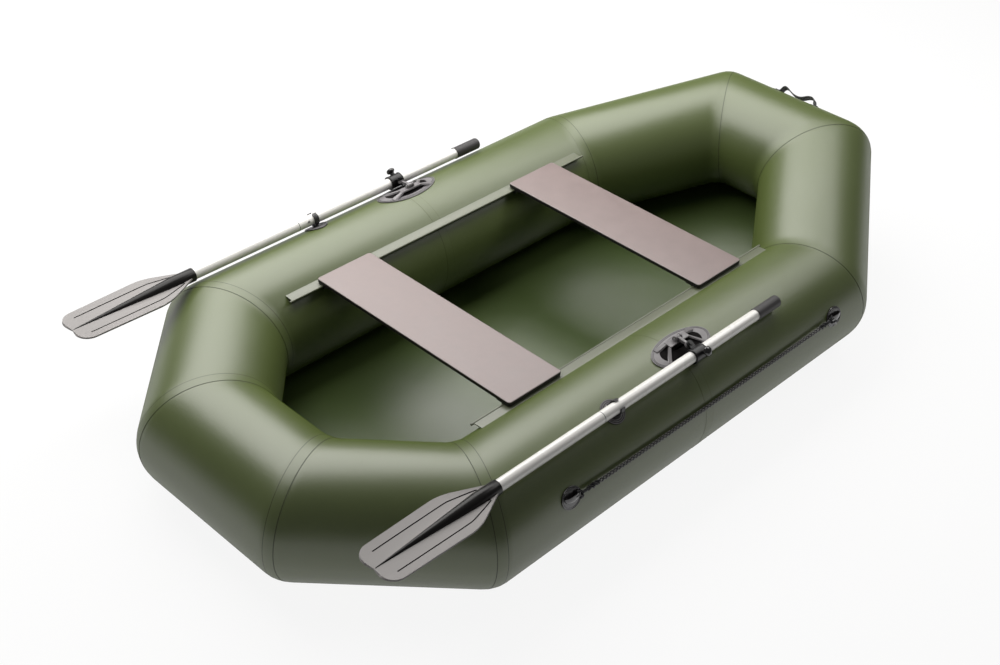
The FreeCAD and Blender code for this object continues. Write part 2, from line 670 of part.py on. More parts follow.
def lock_arm():
    """The rocker from the dip pin to the swing pin."""
    axis = swing_axis()
    eye_half = EAR_INNER_X - ARM_SIDE_GAP
    dip_eye = rod(dip_centre() - X_AXIS * eye_half, X_AXIS, 2 * eye_half, ARM_EYE_RADIUS)
    swing_eye = rod(swing_centre() - axis * SWING_EYE_HEIGHT, axis, SWING_EYE_HEIGHT, SWING_EYE_RADIUS)
    middle = swing_centre() - axis * (SWING_EYE_HEIGHT / 2)
    along = unit(middle - dip_centre())
    across = Vector(0, -along.z, along.y) * (ARM_DEPTH / 2)
    bar = slab([dip_centre() + across, middle + across * 0.8, middle - across * 0.8, dip_centre() - across],
               LOCK_X - ARM_WIDTH / 2, LOCK_X + ARM_WIDTH / 2)
    above = rod(swing_centre(), axis, 2 * LUG_HEIGHT, 2 * SWING_EYE_RADIUS)
    nut_room = rod(swing_centre() - axis * SWING_EYE_HEIGHT, axis * -1, 2 * SWING_NUT,
                   SWING_HEAD_RADIUS + PIN_HEAD_GAP)
    arm = fuse(dip_eye, swing_eye, bar).cut(above).cut(nut_room)
    dip_bore = rod(dip_centre() - X_AXIS * 2 * eye_half, X_AXIS, 4 * eye_half, DIP_PIN_RADIUS + RUNNING_FIT)
    swing_bore = rod(swing_centre() - axis * 2 * SWING_EYE_HEIGHT, axis, 4 * SWING_EYE_HEIGHT,
                     SWING_PIN_RADIUS)
    return arm.cut(dip_bore).cut(swing_bore)


def swing_pin():
    """The pin that the collar swings on, with a nut under the arm and a head over the lug."""
    axis = swing_axis()
    bottom = swing_centre() - axis * (SWING_EYE_HEIGHT + SWING_NUT)
    top_height = 2 * LUG_GAP + LUG_HEIGHT
    pin = rod(bottom, axis, SWING_NUT + SWING_EYE_HEIGHT + top_height, SWING_PIN_RADIUS)
    nut = rod(bottom, axis, SWING_NUT, SWING_HEAD_RADIUS)
    head = rod(swing_centre() + axis * top_height, axis, SWING_HEAD, SWING_HEAD_RADIUS)
    return fuse(pin, nut, head)


def oar_collar():
    """The ring clamped round the shaft, with the lug for the swing pin and the boss for the knob."""
    outer = SHAFT_RADIUS + COLLAR_WALL
    axis = swing_axis()
    ring = rod(shaft_point(LOCK_X - COLLAR_LENGTH / 2), X_AXIS, COLLAR_LENGTH, outer)
    low = swing_centre() + axis * LUG_GAP
    tab = rod(low, axis, LUG_HEIGHT, SWING_EYE_RADIUS)
    far = swing_outboard() * COLLAR_REACH
    neck = slab([low, low + far, low + far + axis * LUG_HEIGHT, low + axis * LUG_HEIGHT],
                LOCK_X - SWING_EYE_RADIUS, LOCK_X + SWING_EYE_RADIUS)
    boss = rod(shaft_point(KNOB_X), about_shaft(KNOB_ANGLE), outer + BOSS_HEIGHT, BOSS_RADIUS)
    collar = fuse(ring, tab, neck, boss)
    bore = rod(shaft_point(LOCK_X - COLLAR_LENGTH), X_AXIS, 2 * COLLAR_LENGTH, SHAFT_RADIUS)
    pin_bore = rod(swing_centre(), axis, 3 * LUG_HEIGHT, SWING_PIN_RADIUS + RUNNING_FIT)
    return collar.cut(bore).cut(pin_bore).cut(knob_bore(RUNNING_FIT))


def clamp_knob():
    """The lobed hand knob whose screw presses on the shaft."""
    direction = about_shaft(KNOB_ANGLE)
    centre = shaft_point(KNOB_X)
    start = SHAFT_RADIUS + COLLAR_WALL + BOSS_HEIGHT + KNOB_GAP
    body = rod(centre + direction * start, direction, KNOB_HEIGHT, KNOB_RADIUS)
    lobes = []
    for index in range(KNOB_LOBES):
        turn = 2 * math.pi * index / KNOB_LOBES
        side = X_AXIS * math.cos(turn) + direction.cross(X_AXIS) * math.sin(turn)
        lobes.append(rod(centre + direction * start + side * (KNOB_RADIUS - 1), direction, KNOB_HEIGHT,
                         KNOB_LOBE_RADIUS))
    tip = SHAFT_RADIUS + 0.3
    screw = rod(centre + direction * tip, direction, start + 1 - tip, KNOB_SCREW_RADIUS)
    return fuse(body, screw, *lobes)


# ---------------------------------------------------------------- oar clips
def oar_clip():
    """A round rubber pad whose two prongs hug the shaft."""
    pad = patch(CLIP_X, SHAFT_ANGLE, CLIP_PAD_RADIUS, CLIP_PAD_RADIUS, CLIP_PAD_THICKNESS)
    inner = SHAFT_RADIUS + CLIP_GAP
    outer = inner + CLIP_WALL
    ring = rod(shaft_point(CLIP_X - CLIP_LENGTH / 2), X_AXIS, CLIP_LENGTH, outer)
    stem = rod(radial(SHAFT_ANGLE, TUBE_RADIUS + CLIP_PAD_THICKNESS / 2, CLIP_X), radial(SHAFT_ANGLE, 1),
               SHAFT_STANDOFF, CLIP_STEM_RADIUS)
    mouth = Part.makeBox(CLIP_LENGTH, CLIP_MOUTH, 2 * outer,
                         Vector(CLIP_X - CLIP_LENGTH / 2, -CLIP_MOUTH / 2, TUBE_RADIUS + SHAFT_STANDOFF))
    mouth.rotate(ORIGIN, X_AXIS, SHAFT_ANGLE)
    bore = rod(shaft_point(CLIP_X - CLIP_PAD_RADIUS), X_AXIS, 2 * CLIP_PAD_RADIUS, inner)
    return fuse(pad, stem, ring).cut(bore).cut(mouth)


# ---------------------------------------------------------------- grab lines
def line_eye(x, angle):
    """An oval pad with a bridge that the rope is tied round."""
    pad = patch(x, angle, EYE_HALF_LENGTH, EYE_HALF_WIDTH, EYE_THICKNESS)
    low = TUBE_RADIUS + EYE_THICKNESS / 2
    high = TUBE_RADIUS + EYE_BRIDGE_RISE
    inner_half = EYE_BRIDGE_HALF - EYE_BRIDGE_WALL
    edges = [
        Part.Arc(Vector(x - EYE_BRIDGE_HALF, 0, low), Vector(x, 0, high),
                 Vector(x + EYE_BRIDGE_HALF, 0, low)),
        Part.LineSegment(Vector(x + EYE_BRIDGE_HALF, 0, low), Vector(x + inner_half, 0, low)),
        Part.Arc(Vector(x + inner_half, 0, low), Vector(x, 0, high - EYE_BRIDGE_WALL),
                 Vector(x - inner_half, 0, low)),
        Part.LineSegment(Vector(x - inner_half, 0, low), Vector(x - EYE_BRIDGE_HALF, 0, low)),
    ]
    outline = Part.Wire([edge.toShape() for edge in edges])
    bridge = Part.Face(outline).extrude(Vector(0, EYE_BRIDGE_WIDTH, 0))
    bridge.translate(Vector(0, -EYE_BRIDGE_WIDTH / 2, 0))
    bridge.rotate(ORIGIN, X_AXIS, angle)
    return fuse(pad, bridge)


def rope_points():
    """The rope's route in the tube's frame: from knot to knot, sagging a little down the tube's side."""
    points = []
    for x in ROPE_XS:
        share = (x - ROPE_XS[0]) / (ROPE_XS[-1] - ROPE_XS[0])
        droop = 1 - (2 * share - 1) ** 2
        level = EYE_ANGLES[0] + (EYE_ANGLES[1] - EYE_ANGLES[0]) * share
        points.append(radial(level + ROPE_SAG_ANGLE * droop,
                             TUBE_RADIUS + ROPE_STANDOFF - ROPE_SAG_IN * droop, x))
    return points


def rope_path(points):
    """Straight runs joined by tangent arcs."""
    edges = []
    radii = []
    start = points[0]
    for index in range(1, len(points) - 1):
        corner = points[index]
        back = points[index - 1] - corner
        ahead = points[index + 1] - corner
        setback = 0.45 * min(back.Length, ahead.Length)
        turn = math.pi - back.getAngle(ahead)
        radius = setback / math.tan(turn / 2)
        arc_start = corner + unit(back) * setback
        arc_end = corner + unit(ahead) * setback
        inward = unit(unit(back) + unit(ahead))
        arc_middle = corner + inward * (radius / math.cos(turn / 2) - radius)
        edges.append(Part.LineSegment(start, arc_start).toShape())
        edges.append(Part.Arc(arc_start, arc_middle, arc_end).toShape())
        radii.append(round(radius))
        start = arc_end
    edges.append(Part.LineSegment(start, points[-1]).toShape())
    return Part.Wire(edges), radii


def grab_line():
    points = rope_points()
    path, radii = rope_path(points)
    circle = Part.Wire(Part.Circle(points[0], unit(points[1] - points[0]), ROPE_RADIUS).toShape())
    rope = path.makePipeShell([circle], True, False)
    exact = math.pi * ROPE_RADIUS ** 2 * path.Length
    print("rope length", round(path.Length, 1), "radii", radii)
    print("rope volume over section times length", round(rope.Volume / exact, 5))
    return rope


def line_knots():
    """The hitches that tie a rope's two ends to the eyes' bridges."""
    points = rope_points()
    knots = []
    for end, inner, eye_x in ((points[0], points[1], EYE_XS[0]), (points[-1], points[-2], EYE_XS[-1])):
        length = abs(eye_x - end.x) - EYE_BRIDGE_HALF - KNOT_GAP
        knot = rod(end, unit(end - inner), length, KNOT_RADIUS)
        rims = [edge for edge in knot.Edges if edge.Closed and isinstance(edge.Curve, Part.Circle)]
        knots.append(knot.makeFillet(KNOT_ROUND, rims))
    return knots


# ---------------------------------------------------------------- bow handle
def to_bow(shape):
    """Move a piece from the tube's frame to the bow tube, where outboard points forward."""
    placed = shape.copy()
    placed.rotate(ORIGIN, Z_AXIS, 90)
    placed.translate(Vector(BOW_X, 0, AXIS_Z + BOW_RISE))
    return placed


def make_handle():
    """A webbing strap arched between two glued pads on the bow tube's outer face."""
    pads = [patch(end * HANDLE_PAD_Y, HANDLE_ANGLE, HANDLE_PAD_HALF, HANDLE_PAD_HALF, HANDLE_PAD_THICKNESS)
            for end in (-1, 1)]
    low = TUBE_RADIUS + HANDLE_PAD_THICKNESS
    high = low + HANDLE_THICKNESS
    foot_in = HANDLE_PAD_Y - HANDLE_FOOT / 2
    foot_out = HANDLE_PAD_Y + HANDLE_FOOT / 2
    under = [Vector(-foot_out, 0, low), Vector(-foot_in, 0, low), Vector(foot_in, 0, low),
             Vector(foot_out, 0, low)]
    over = [Vector(-foot_out, 0, high), Vector(-foot_in, 0, high), Vector(foot_in, 0, high),
            Vector(foot_out, 0, high)]
    edges = [
        Part.LineSegment(under[0], under[1]),
        Part.Arc(under[1], Vector(0, 0, low + HANDLE_ARCH), under[2]),
        Part.LineSegment(under[2], under[3]),
        Part.LineSegment(under[3], over[3]),
        Part.LineSegment(over[3], over[2]),
        Part.Arc(over[2], Vector(0, 0, high + HANDLE_ARCH), over[1]),
        Part.LineSegment(over[1], over[0]),
        Part.LineSegment(over[0], under[0]),
    ]
    outline = Part.Wire([edge.toShape() for edge in edges])
    strap = Part.Face(outline).extrude(Vector(0, HANDLE_WIDTH, 0))
    strap.translate(Vector(0, -HANDLE_WIDTH / 2, 0))
    strap.rotate(ORIGIN, X_AXIS, HANDLE_ANGLE)
    keep("bow_handle_pads", *[to_bow(pad) for pad in pads])
    keep("bow_handle_strap", to_bow(strap))


# ---------------------------------------------------------------- valves
def valve_point(x, height):
    """A point on a valve's axis, at a height above the tube's skin."""
    return radial(VALVE_ANGLE, TUBE_RADIUS + height, x)


def valve_rod(x, low, high, radius):
    return rod(valve_point(x, low), radial(VALVE_ANGLE, 1), high - low, radius)


def valve_body(x):
    flange = patch(x, VALVE_ANGLE, VALVE_FLANGE_RADIUS, VALVE_FLANGE_RADIUS, VALVE_FLANGE)
    floor_low = VALVE_FLOOR_TOP - VALVE_FLOOR
    barrel = valve_rod(x, floor_low, VALVE_RIM, VALVE_BARREL_RADIUS)
    body = fuse(flange, barrel)
    body = body.cut(valve_rod(x, VALVE_FLOOR_TOP, VALVE_RIM, VALVE_BORE_RADIUS))
    body = body.cut(valve_rod(x, floor_low, VALVE_FLOOR_TOP, STEM_RADIUS + RUNNING_FIT))
    for index in range(VALVE_VENTS):
        vent = valve_rod(x, floor_low, VALVE_FLOOR_TOP, VALVE_VENT_RADIUS)
        turn = 2 * math.pi * (index + 0.5) / VALVE_VENTS
        sideways = radial(VALVE_ANGLE + 90, VALVE_VENT_CIRCLE * math.sin(turn))
        vent.translate(X_AXIS * VALVE_VENT_CIRCLE * math.cos(turn) + sideways)
        body = body.cut(vent)
    return body


def valve_plunger(x):
    floor_low = VALVE_FLOOR_TOP - VALVE_FLOOR
    seal_high = floor_low - SEAL_GAP
    seal = valve_rod(x, seal_high - SEAL_THICKNESS, seal_high, SEAL_RADIUS)
    stem = valve_rod(x, seal_high, STEM_TOP, STEM_RADIUS)
    head = valve_rod(x, STEM_TOP, STEM_TOP + STEM_HEAD, STEM_HEAD_RADIUS)
    return fuse(seal, stem, head)


def valve_spring(x):
    """A coil between the barrel's floor and the plunger's head."""
    room = STEM_TOP - VALVE_FLOOR_TOP
    height = room - 2 * COIL_WIRE - 0.4
    helix = Part.makeHelix(height / COIL_TURNS, height, COIL_RADIUS)
    start = Vector(COIL_RADIUS, 0, 0)
    circle = Part.Wire(Part.Circle(start, Y_AXIS, COIL_WIRE).toShape())
    coil = Part.Wire(helix.Edges).makePipeShell([circle], True, True)
    coil.translate(Vector(x, 0, TUBE_RADIUS + VALVE_FLOOR_TOP + COIL_WIRE + 0.2))
    coil.rotate(ORIGIN, X_AXIS, VALVE_ANGLE)
    return coil


def valve_cap(x):
    inner = VALVE_BARREL_RADIUS + CAP_GAP
    outer = inner + CAP_WALL
    low = VALVE_FLANGE + CAP_GAP
    roof = VALVE_RIM + CAP_GAP
    shell = valve_rod(x, low, roof + CAP_TOP, outer)
    ribs = []
    for index in range(CAP_RIBS):
        turn = 2 * math.pi * index / CAP_RIBS
        rib = valve_rod(x, low, roof + CAP_TOP, CAP_RIB_RADIUS)
        rib.translate(X_AXIS * outer * math.cos(turn) + radial(VALVE_ANGLE + 90, outer * math.sin(turn)))
        ribs.append(rib)
    return fuse(shell, *ribs).cut(valve_rod(x, low, roof, inner))


def make_valves():
    for name, x in VALVE_XS.items():
        for piece, maker in (("body", valve_body), ("plunger", valve_plunger), ("spring", valve_spring),
                             ("cap", valve_cap)):
            keep("valve_%s_%s" % (piece, name), to_side(maker(x), "starboard"))


# ---------------------------------------------------------------- everything on the side tubes
def make_side_pieces():
    pieces = {
        "oar_grip": [grip()],
        "oar_upper_shaft": [upper_shaft()],
        "oar_lower_shaft": [lower_shaft()],
        "oar_blade": [blade()],
        "snap_button": [snap_button()],
        "snap_spring": [snap_spring()],
        "lock_base": [lock_base()],
        "lock_dip_pin": [dip_pin()],
        "lock_arm": [lock_arm()],
        "lock_swing_pin": [swing_pin()],
        "oar_collar": [oar_collar()],
        "clamp_knob": [clamp_knob()],
        "oar_clip": [oar_clip()],
        "line_eyes": [line_eye(x, angle) for x, angle in zip(EYE_XS, EYE_ANGLES)],
        "grab_line": [grab_line()],
    }
    for side in ("port", "starboard"):
        for name, shapes in pieces.items():
            keep("%s_%s" % (name, side), *[to_side(shape, side) for shape in shapes])
    keep("line_knots", *[to_side(knot, side) for side in ("port", "starboard") for knot in line_knots()])


def main():
    make_tubes()
    make_bulkheads()
    make_floor()
    make_rails()
    make_bench("stern", STERN_BENCH_X)
    make_bench("bow", BOW_BENCH_X)
    make_side_pieces()
    make_handle()
    make_valves()
    os.makedirs("parts", exist_ok=True)
    for name, shape in NODES.items():
        if not shape.isValid():
            print("not valid:", name)
        shape.exportStep("parts/%s.step" % name)
    print(len(NODES), "nodes")


main()
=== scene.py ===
# %% [markdown]
# # An inflatable rowing boat
#
# Eight welded fabric tubes make the hull, and everything else is glued to them or sits in something that
# is: bench rails, oarlocks, oar clips, grab lines, a carry handle and valves. This lesson dresses the
# boat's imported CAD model. A CAD part keeps its place, and gets a finish. Where the real thing has more
# shape than the CAD, a new piece is made in the same place and stands for it.

# %% The frame
import json
import math

import bmesh
import bpy
from mathutils import Matrix, Vector
from mathutils.bvhtree import BVHTree


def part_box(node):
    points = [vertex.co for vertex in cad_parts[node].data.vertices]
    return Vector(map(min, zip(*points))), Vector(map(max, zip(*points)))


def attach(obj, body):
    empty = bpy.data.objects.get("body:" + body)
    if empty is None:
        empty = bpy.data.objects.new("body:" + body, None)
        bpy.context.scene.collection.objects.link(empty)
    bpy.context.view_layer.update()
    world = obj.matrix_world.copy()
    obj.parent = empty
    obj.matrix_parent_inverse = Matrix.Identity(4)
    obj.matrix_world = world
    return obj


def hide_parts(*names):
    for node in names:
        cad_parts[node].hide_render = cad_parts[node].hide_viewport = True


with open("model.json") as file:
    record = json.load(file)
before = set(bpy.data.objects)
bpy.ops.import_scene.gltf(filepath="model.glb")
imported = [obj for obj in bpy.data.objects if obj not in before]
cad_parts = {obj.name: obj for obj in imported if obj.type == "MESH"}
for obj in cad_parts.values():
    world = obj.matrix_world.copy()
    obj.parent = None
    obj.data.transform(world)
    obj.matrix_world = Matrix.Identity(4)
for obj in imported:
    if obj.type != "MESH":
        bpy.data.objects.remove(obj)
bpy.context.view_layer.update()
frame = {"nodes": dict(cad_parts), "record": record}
scene = bpy.context.scene

# %% [markdown]
# ## Camera
#
# A long lens from high off the stern's starboard side shows the whole boat, with the inside of the far
# tube. The camera is rolled a few degrees, so the roll is turned about the lens after the camera is aimed.

# %% The camera
CAMERA_PLACE = Vector((-2.5888, -2.1998, 2.5821))
CAMERA_AIM = Vector((-0.2011, -0.0094, 0.170))
CAMERA_ROLL = math.radians(2.99)
LENS_MM = 52.74
SENSOR_MM = 36.0
FARTHEST = 50.0


def aimed(place, target):
    """A matrix that stands something at a place and points it at a target."""
    facing = (Vector(target) - Vector(place)).to_track_quat("-Z", "Y").to_matrix().to_4x4()
    return Matrix.Translation(place) @ facing


camera = bpy.data.objects.new("camera", bpy.data.cameras.new("camera"))
scene.collection.objects.link(camera)
camera.data.sensor_width = SENSOR_MM
camera.data.lens = LENS_MM
camera.data.clip_end = FARTHEST
camera.matrix_world = aimed(CAMERA_PLACE, CAMERA_AIM) @ Matrix.Rotation(CAMERA_ROLL, 4, "Z")
scene.camera = camera
print("camera", round((CAMERA_AIM - CAMERA_PLACE).length, 2), "m from the boat")

# %% [markdown]
# ## Stage
#
# A floor that fills the view is enough of a backdrop. It is a plain pale plane. Part of its brightness is
# its own where the camera or a reflection sees it, which keeps it near white, and the rest is lit, which
# keeps the boat's shadow. The mix of the two is in the floor's own material, so no extra light falls on
# the boat.

# %% The floor's material
FLOOR_GREY = 0.82
FLOOR_GLOW = 0.90


def math_node(tree, operation, first, second=None, third=None):
    """A Math node whose inputs are sockets or plain numbers."""
    node = tree.nodes.new("ShaderNodeMath")
    node.operation = operation
    for slot, value in zip(node.inputs, (first, second, third)):
        if isinstance(value, (int, float)):
            slot.default_value = value
        elif value is not None:
            tree.links.new(value, slot)
    return node.outputs[0]


floor_material = bpy.data.materials.new("stage_floor")
floor_material.use_nodes = True
tree = floor_material.node_tree
tree.nodes.clear()
output = tree.nodes.new("ShaderNodeOutputMaterial")
lit = tree.nodes.new("ShaderNodeBsdfDiffuse")
lit.inputs["Color"].default_value = (FLOOR_GREY, FLOOR_GREY, FLOOR_GREY, 1)
glow = tree.nodes.new("ShaderNodeEmission")
glow.inputs["Color"].default_value = (1, 1, 1, 1)
ray = tree.nodes.new("ShaderNodeLightPath")
seen = math_node(tree, "MAXIMUM", ray.outputs["Is Camera Ray"], ray.outputs["Is Glossy Ray"])
seen = math_node(tree, "MAXIMUM", seen, ray.outputs["Is Transmission Ray"])
mix = tree.nodes.new("ShaderNodeMixShader")
tree.links.new(math_node(tree, "MULTIPLY", seen, FLOOR_GLOW), mix.inputs[0])
tree.links.new(lit.outputs[0], mix.inputs[1])
tree.links.new(glow.outputs[0], mix.inputs[2])
tree.links.new(mix.outputs[0], output.inputs["Surface"])
print("floor material:", len(tree.nodes), "nodes")

# %% The floor
FLOOR_HALF = 4.5
FLOOR_DROP = 0.0005

floor_bm = bmesh.new()
bmesh.ops.create_grid(floor_bm, x_segments=1, y_segments=1, size=FLOOR_HALF)
floor_mesh = bpy.data.meshes.new("stage_floor")
floor_bm.to_mesh(floor_mesh)
floor_bm.free()
floor_mesh.materials.append(floor_material)
stage_floor = bpy.data.objects.new("stage_floor", floor_mesh)
stage_floor.location.z = -FLOOR_DROP
scene.collection.objects.link(stage_floor)
print("stage floor", stage_floor.dimensions.x, "m wide")

# %% [markdown]
# ## Light
#
# The hull's coated fabric has a satin shine, so what shapes it most is what it mirrors. One wide, soft
# panel hangs level over the port side of the boat, out past its middle, and a small one hangs over the
# starboard bow. The crowns of the tubes, the benches and the oars mirror them. The flanks that face the
# camera mirror the dim room in front of the panels instead, and stay dark. The insides of the tubes face
# away from the panels too, and only get what the floor and the benches pass on.

# %% The lamps and the world
WARM_WHITE = (1.0, 0.985, 0.965)
ROOM_STRENGTH = 0.12


def soft_panel(name, place, aim_at, width, height, radiance):
    """A rectangular area lamp that points at a place."""
    lamp = bpy.data.lights.new(name, "AREA")
    lamp.shape = "RECTANGLE"
    lamp.size = width
    lamp.size_y = height
    lamp.energy = radiance * math.pi * width * height
    lamp.color = WARM_WHITE
    panel = bpy.data.objects.new(name, lamp)
    scene.collection.objects.link(panel)
    panel.matrix_world = aimed(place, aim_at)
    panel.visible_camera = False


# The wide panel is aimed a hair off straight down, which settles its turn about the vertical.
soft_panel("overhead_bank", place=(0.28, 2.30, 2.35), aim_at=(0.28, 2.3001, 0.0),
           width=3.9, height=4.3, radiance=4.4)
soft_panel("bow_bank", place=(2.10, -0.55, 2.35), aim_at=(1.80, -0.45, 0.0),
           width=2.0, height=1.3, radiance=3.5)

world = bpy.data.worlds.new("studio")
scene.world = world
world.use_nodes = True
background = world.node_tree.nodes["Background"]
background.inputs["Color"].default_value = (1, 1, 1, 1)
background.inputs["Strength"].default_value = ROOM_STRENGTH
scene.view_settings.view_transform = "Standard"

# %% [markdown]
# ## Helpers
#
# Most pieces lie on a side tube, so they are shaped flat, as they would be cut from sheet, and then
# wrapped round it: x runs along the tube, y round it, and z is the height over its skin. The port twin is
# the same shape turned over the middle of the boat, with its faces turned back the right way.

# %% Places on the tubes
side_low, side_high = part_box("tube_side_port")
TUBE_RADIUS = (side_high.y - side_low.y) / 2
SIDE_Y = (side_high.y + side_low.y) / 2
AXIS_Z = side_high.z - TUBE_RADIUS


def on_tube(angle, height, x=0.0):
    """The point on the starboard tube at an angle outboard of its crown and a height over its skin."""
    turn = math.radians(angle)
    radius = TUBE_RADIUS + height
    return Vector((x, -SIDE_Y - radius * math.sin(turn), AXIS_Z + radius * math.cos(turn)))


def wrap(bm, x, angle):
    """Lay a flat-built shape on the starboard tube, its middle at x and an angle outboard of the crown."""
    for vert in bm.verts:
        flat = vert.co.copy()
        turn = angle + math.degrees(flat.y / TUBE_RADIUS)
        vert.co = on_tube(turn, flat.z, x + flat.x)
    bmesh.ops.recalc_face_normals(bm, faces=bm.faces)


print("side tube: radius", round(TUBE_RADIUS, 4), "axis at y", round(SIDE_Y, 4), "z", round(AXIS_Z, 4))


# %% Helpers for shapes
def twin(bm, side):
    """A copy of a starboard shape, turned over the middle of the boat for the port side."""
    copy = bm.copy()
    if side == "port":
        bmesh.ops.scale(copy, vec=(1, -1, 1), verts=copy.verts)
        bmesh.ops.reverse_faces(copy, faces=copy.faces)
    return copy


def add_to(bm, other):
    """Move a bmesh's shape into another bmesh."""
    mesh = bpy.data.meshes.new("shape")
    other.to_mesh(mesh)
    other.free()
    bm.from_mesh(mesh)
    bpy.data.meshes.remove(mesh)


def only(geometry, kind):
    """The points, edges or faces in what an operator gives back."""
    return [item for item in geometry if isinstance(item, kind)]


print("helpers for shapes:", twin.__name__, add_to.__name__, only.__name__)

# %% Making pieces
SIDES = ("starboard", "port")


def make_piece(name, bm, looks, body="hull", smooth=35):
    """Turn a bmesh into a piece of the boat that rides on a body. Edges over the smooth angle stay crisp."""
    mesh = bpy.data.meshes.new(name)
    bm.to_mesh(mesh)
    bm.free()
    mesh.shade_smooth()
    mesh.set_sharp_from_angle(angle=math.radians(smooth))
    for look in looks if isinstance(looks, list) else [looks]:
        mesh.materials.append(look)
    piece = bpy.data.objects.new(name, mesh)
    scene.collection.objects.link(piece)
    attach(piece, body)
    return piece


def both_sides(name, bm, looks, slot, body="hull", smooth=50, replaced=None):
    """The starboard piece and its port twin from one bmesh. SIDE in a body's name stands for its side."""
    for side in SIDES:
        piece = make_piece(name + "_" + side, twin(bm, side), looks, body=body.replace("SIDE", side),
                           smooth=smooth)
        if replaced:
            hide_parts(replaced + "_" + side)
    bm.free()


print("helpers for pieces:", make_piece.__name__, both_sides.__name__)

# %% [markdown]
# ## Shared effects
#
# Each effect is a small node group, so that several finishes can use it, each with its own values. All of
# them work from object coordinates, in metres, and put out only a colour, a mask or a height.

# %% Helpers for the effects
SOCKET_KINDS = {"float": "NodeSocketFloat", "color": "NodeSocketColor", "vector": "NodeSocketVector"}


def effect(name, inputs, outputs):
    """A node group with named inputs and outputs, empty but for the sockets to read from and to fill."""
    group = bpy.data.node_groups.new(name, "ShaderNodeTree")
    for label, kind, value in inputs:
        socket = group.interface.new_socket(name=label, in_out="INPUT", socket_type=SOCKET_KINDS[kind])
        socket.default_value = value
    for label, kind in outputs:
        group.interface.new_socket(name=label, in_out="OUTPUT", socket_type=SOCKET_KINDS[kind])
    return group, group.nodes.new("NodeGroupInput").outputs, group.nodes.new("NodeGroupOutput").inputs


def texture(group, kind, vector, scale, **values):
    """A texture node in a group, fed with a place and a scale, with its other values set."""
    node = group.nodes.new(kind)
    group.links.new(vector, node.inputs["Vector"])
    if isinstance(scale, (int, float)):
        node.inputs["Scale"].default_value = scale
    else:
        group.links.new(scale, node.inputs["Scale"])
    for label, value in values.items():
        node.inputs[label].default_value = value
    return node


print("an effect's sockets can be", list(SOCKET_KINDS))

# %% Uneven tone: broad soft patches, for colour that isn't quite even
mottle, enter, leave = effect(
    "uneven_tone",
    [("Vector", "vector", (0, 0, 0)), ("Light", "color", (1, 1, 1, 1)), ("Dark", "color", (0, 0, 0, 1)),
     ("Scale", "float", 4.0), ("Contrast", "float", 1.0)],
    [("Color", "color"), ("Mask", "float")])
patches = texture(mottle, "ShaderNodeTexNoise", enter["Vector"], enter["Scale"], Detail=4.0, Roughness=0.55)
centred = math_node(mottle, "SUBTRACT", patches.outputs["Fac"], 0.5)
spread = math_node(mottle, "MULTIPLY_ADD", centred, enter["Contrast"], 0.5)
blend = mottle.nodes.new("ShaderNodeMix")
blend.data_type = "RGBA"
mottle.links.new(spread, blend.inputs["Factor"])
mottle.links.new(enter["Dark"], blend.inputs["A"])
mottle.links.new(enter["Light"], blend.inputs["B"])
mottle.links.new(blend.outputs["Result"], leave["Color"])
mottle.links.new(spread, leave["Mask"])
print("uneven tone:", len(mottle.nodes), "nodes")

# %% Coated cloth: the weave of the base cloth, faint through its coating, and slow waves in the skin
coated_cloth, enter, leave = effect(
    "coated_cloth",
    [("Vector", "vector", (0, 0, 0)), ("Threads per m", "float", 900.0), ("Weave", "float", 0.3),
     ("Waves", "float", 1.0)],
    [("Height", "float")])
weave = []
for direction in ("X", "Y", "Z"):
    threads = texture(coated_cloth, "ShaderNodeTexWave", enter["Vector"], enter["Threads per m"],
                      Distortion=0.4, Detail=1.0)
    threads.bands_direction = direction
    weave.append(threads.outputs["Fac"])
crossed = math_node(coated_cloth, "ADD", weave[0], weave[1])
crossed = math_node(coated_cloth, "ADD", crossed, weave[2])
slow = texture(coated_cloth, "ShaderNodeTexNoise", enter["Vector"], 7.0, Detail=2.0)
slow_height = math_node(coated_cloth, "MULTIPLY", slow.outputs["Fac"], enter["Waves"])
cloth_height = math_node(coated_cloth, "MULTIPLY_ADD", crossed, enter["Weave"], slow_height)
coated_cloth.links.new(cloth_height, leave["Height"])
print("coated cloth:", len(coated_cloth.nodes), "nodes")

# %% Mould grain: the fine pebbled surface of moulded rubber and plastic
mould_grain, enter, leave = effect(
    "mould_grain", [("Vector", "vector", (0, 0, 0)), ("Scale", "float", 900.0), ("Depth", "float", 1.0)],
    [("Height", "float")])
pebbles = texture(mould_grain, "ShaderNodeTexVoronoi", enter["Vector"], enter["Scale"])
pebbles.feature = "SMOOTH_F1"
pebble_height = math_node(mould_grain, "MULTIPLY", pebbles.outputs["Distance"], enter["Depth"])
mould_grain.links.new(pebble_height, leave["Height"])
print("mould grain:", len(mould_grain.nodes), "nodes")

# %% Long grain: streaks along one way, for brushed metal, drawn tube and wood
long_grain, enter, leave = effect(
    "long_grain",
    [("Vector", "vector", (0, 0, 0)), ("Stretch", "vector", (4, 300, 300)), ("Scale", "float", 1.0)],
    [("Height", "float")])
stretched = long_grain.nodes.new("ShaderNodeVectorMath")
stretched.operation = "MULTIPLY"
long_grain.links.new(enter["Vector"], stretched.inputs[0])
long_grain.links.new(enter["Stretch"], stretched.inputs[1])
streaks = texture(long_grain, "ShaderNodeTexNoise", stretched.outputs[0], enter["Scale"], Detail=5.0,
                  Roughness=0.6)
long_grain.links.new(streaks.outputs["Fac"], leave["Height"])
print("effect groups:", [g.name for g in bpy.data.node_groups if g.type == "SHADER"])

# %% [markdown]
# ## Finishes
#
# Every finish starts from the same few steps: a Principled shader with its fixed values on its own
# sockets, a tone that varies over the piece, a roughness that varies with the same mask, and a bump from
# one of the effects. So one helper builds them, and each finish is one call with its own values.


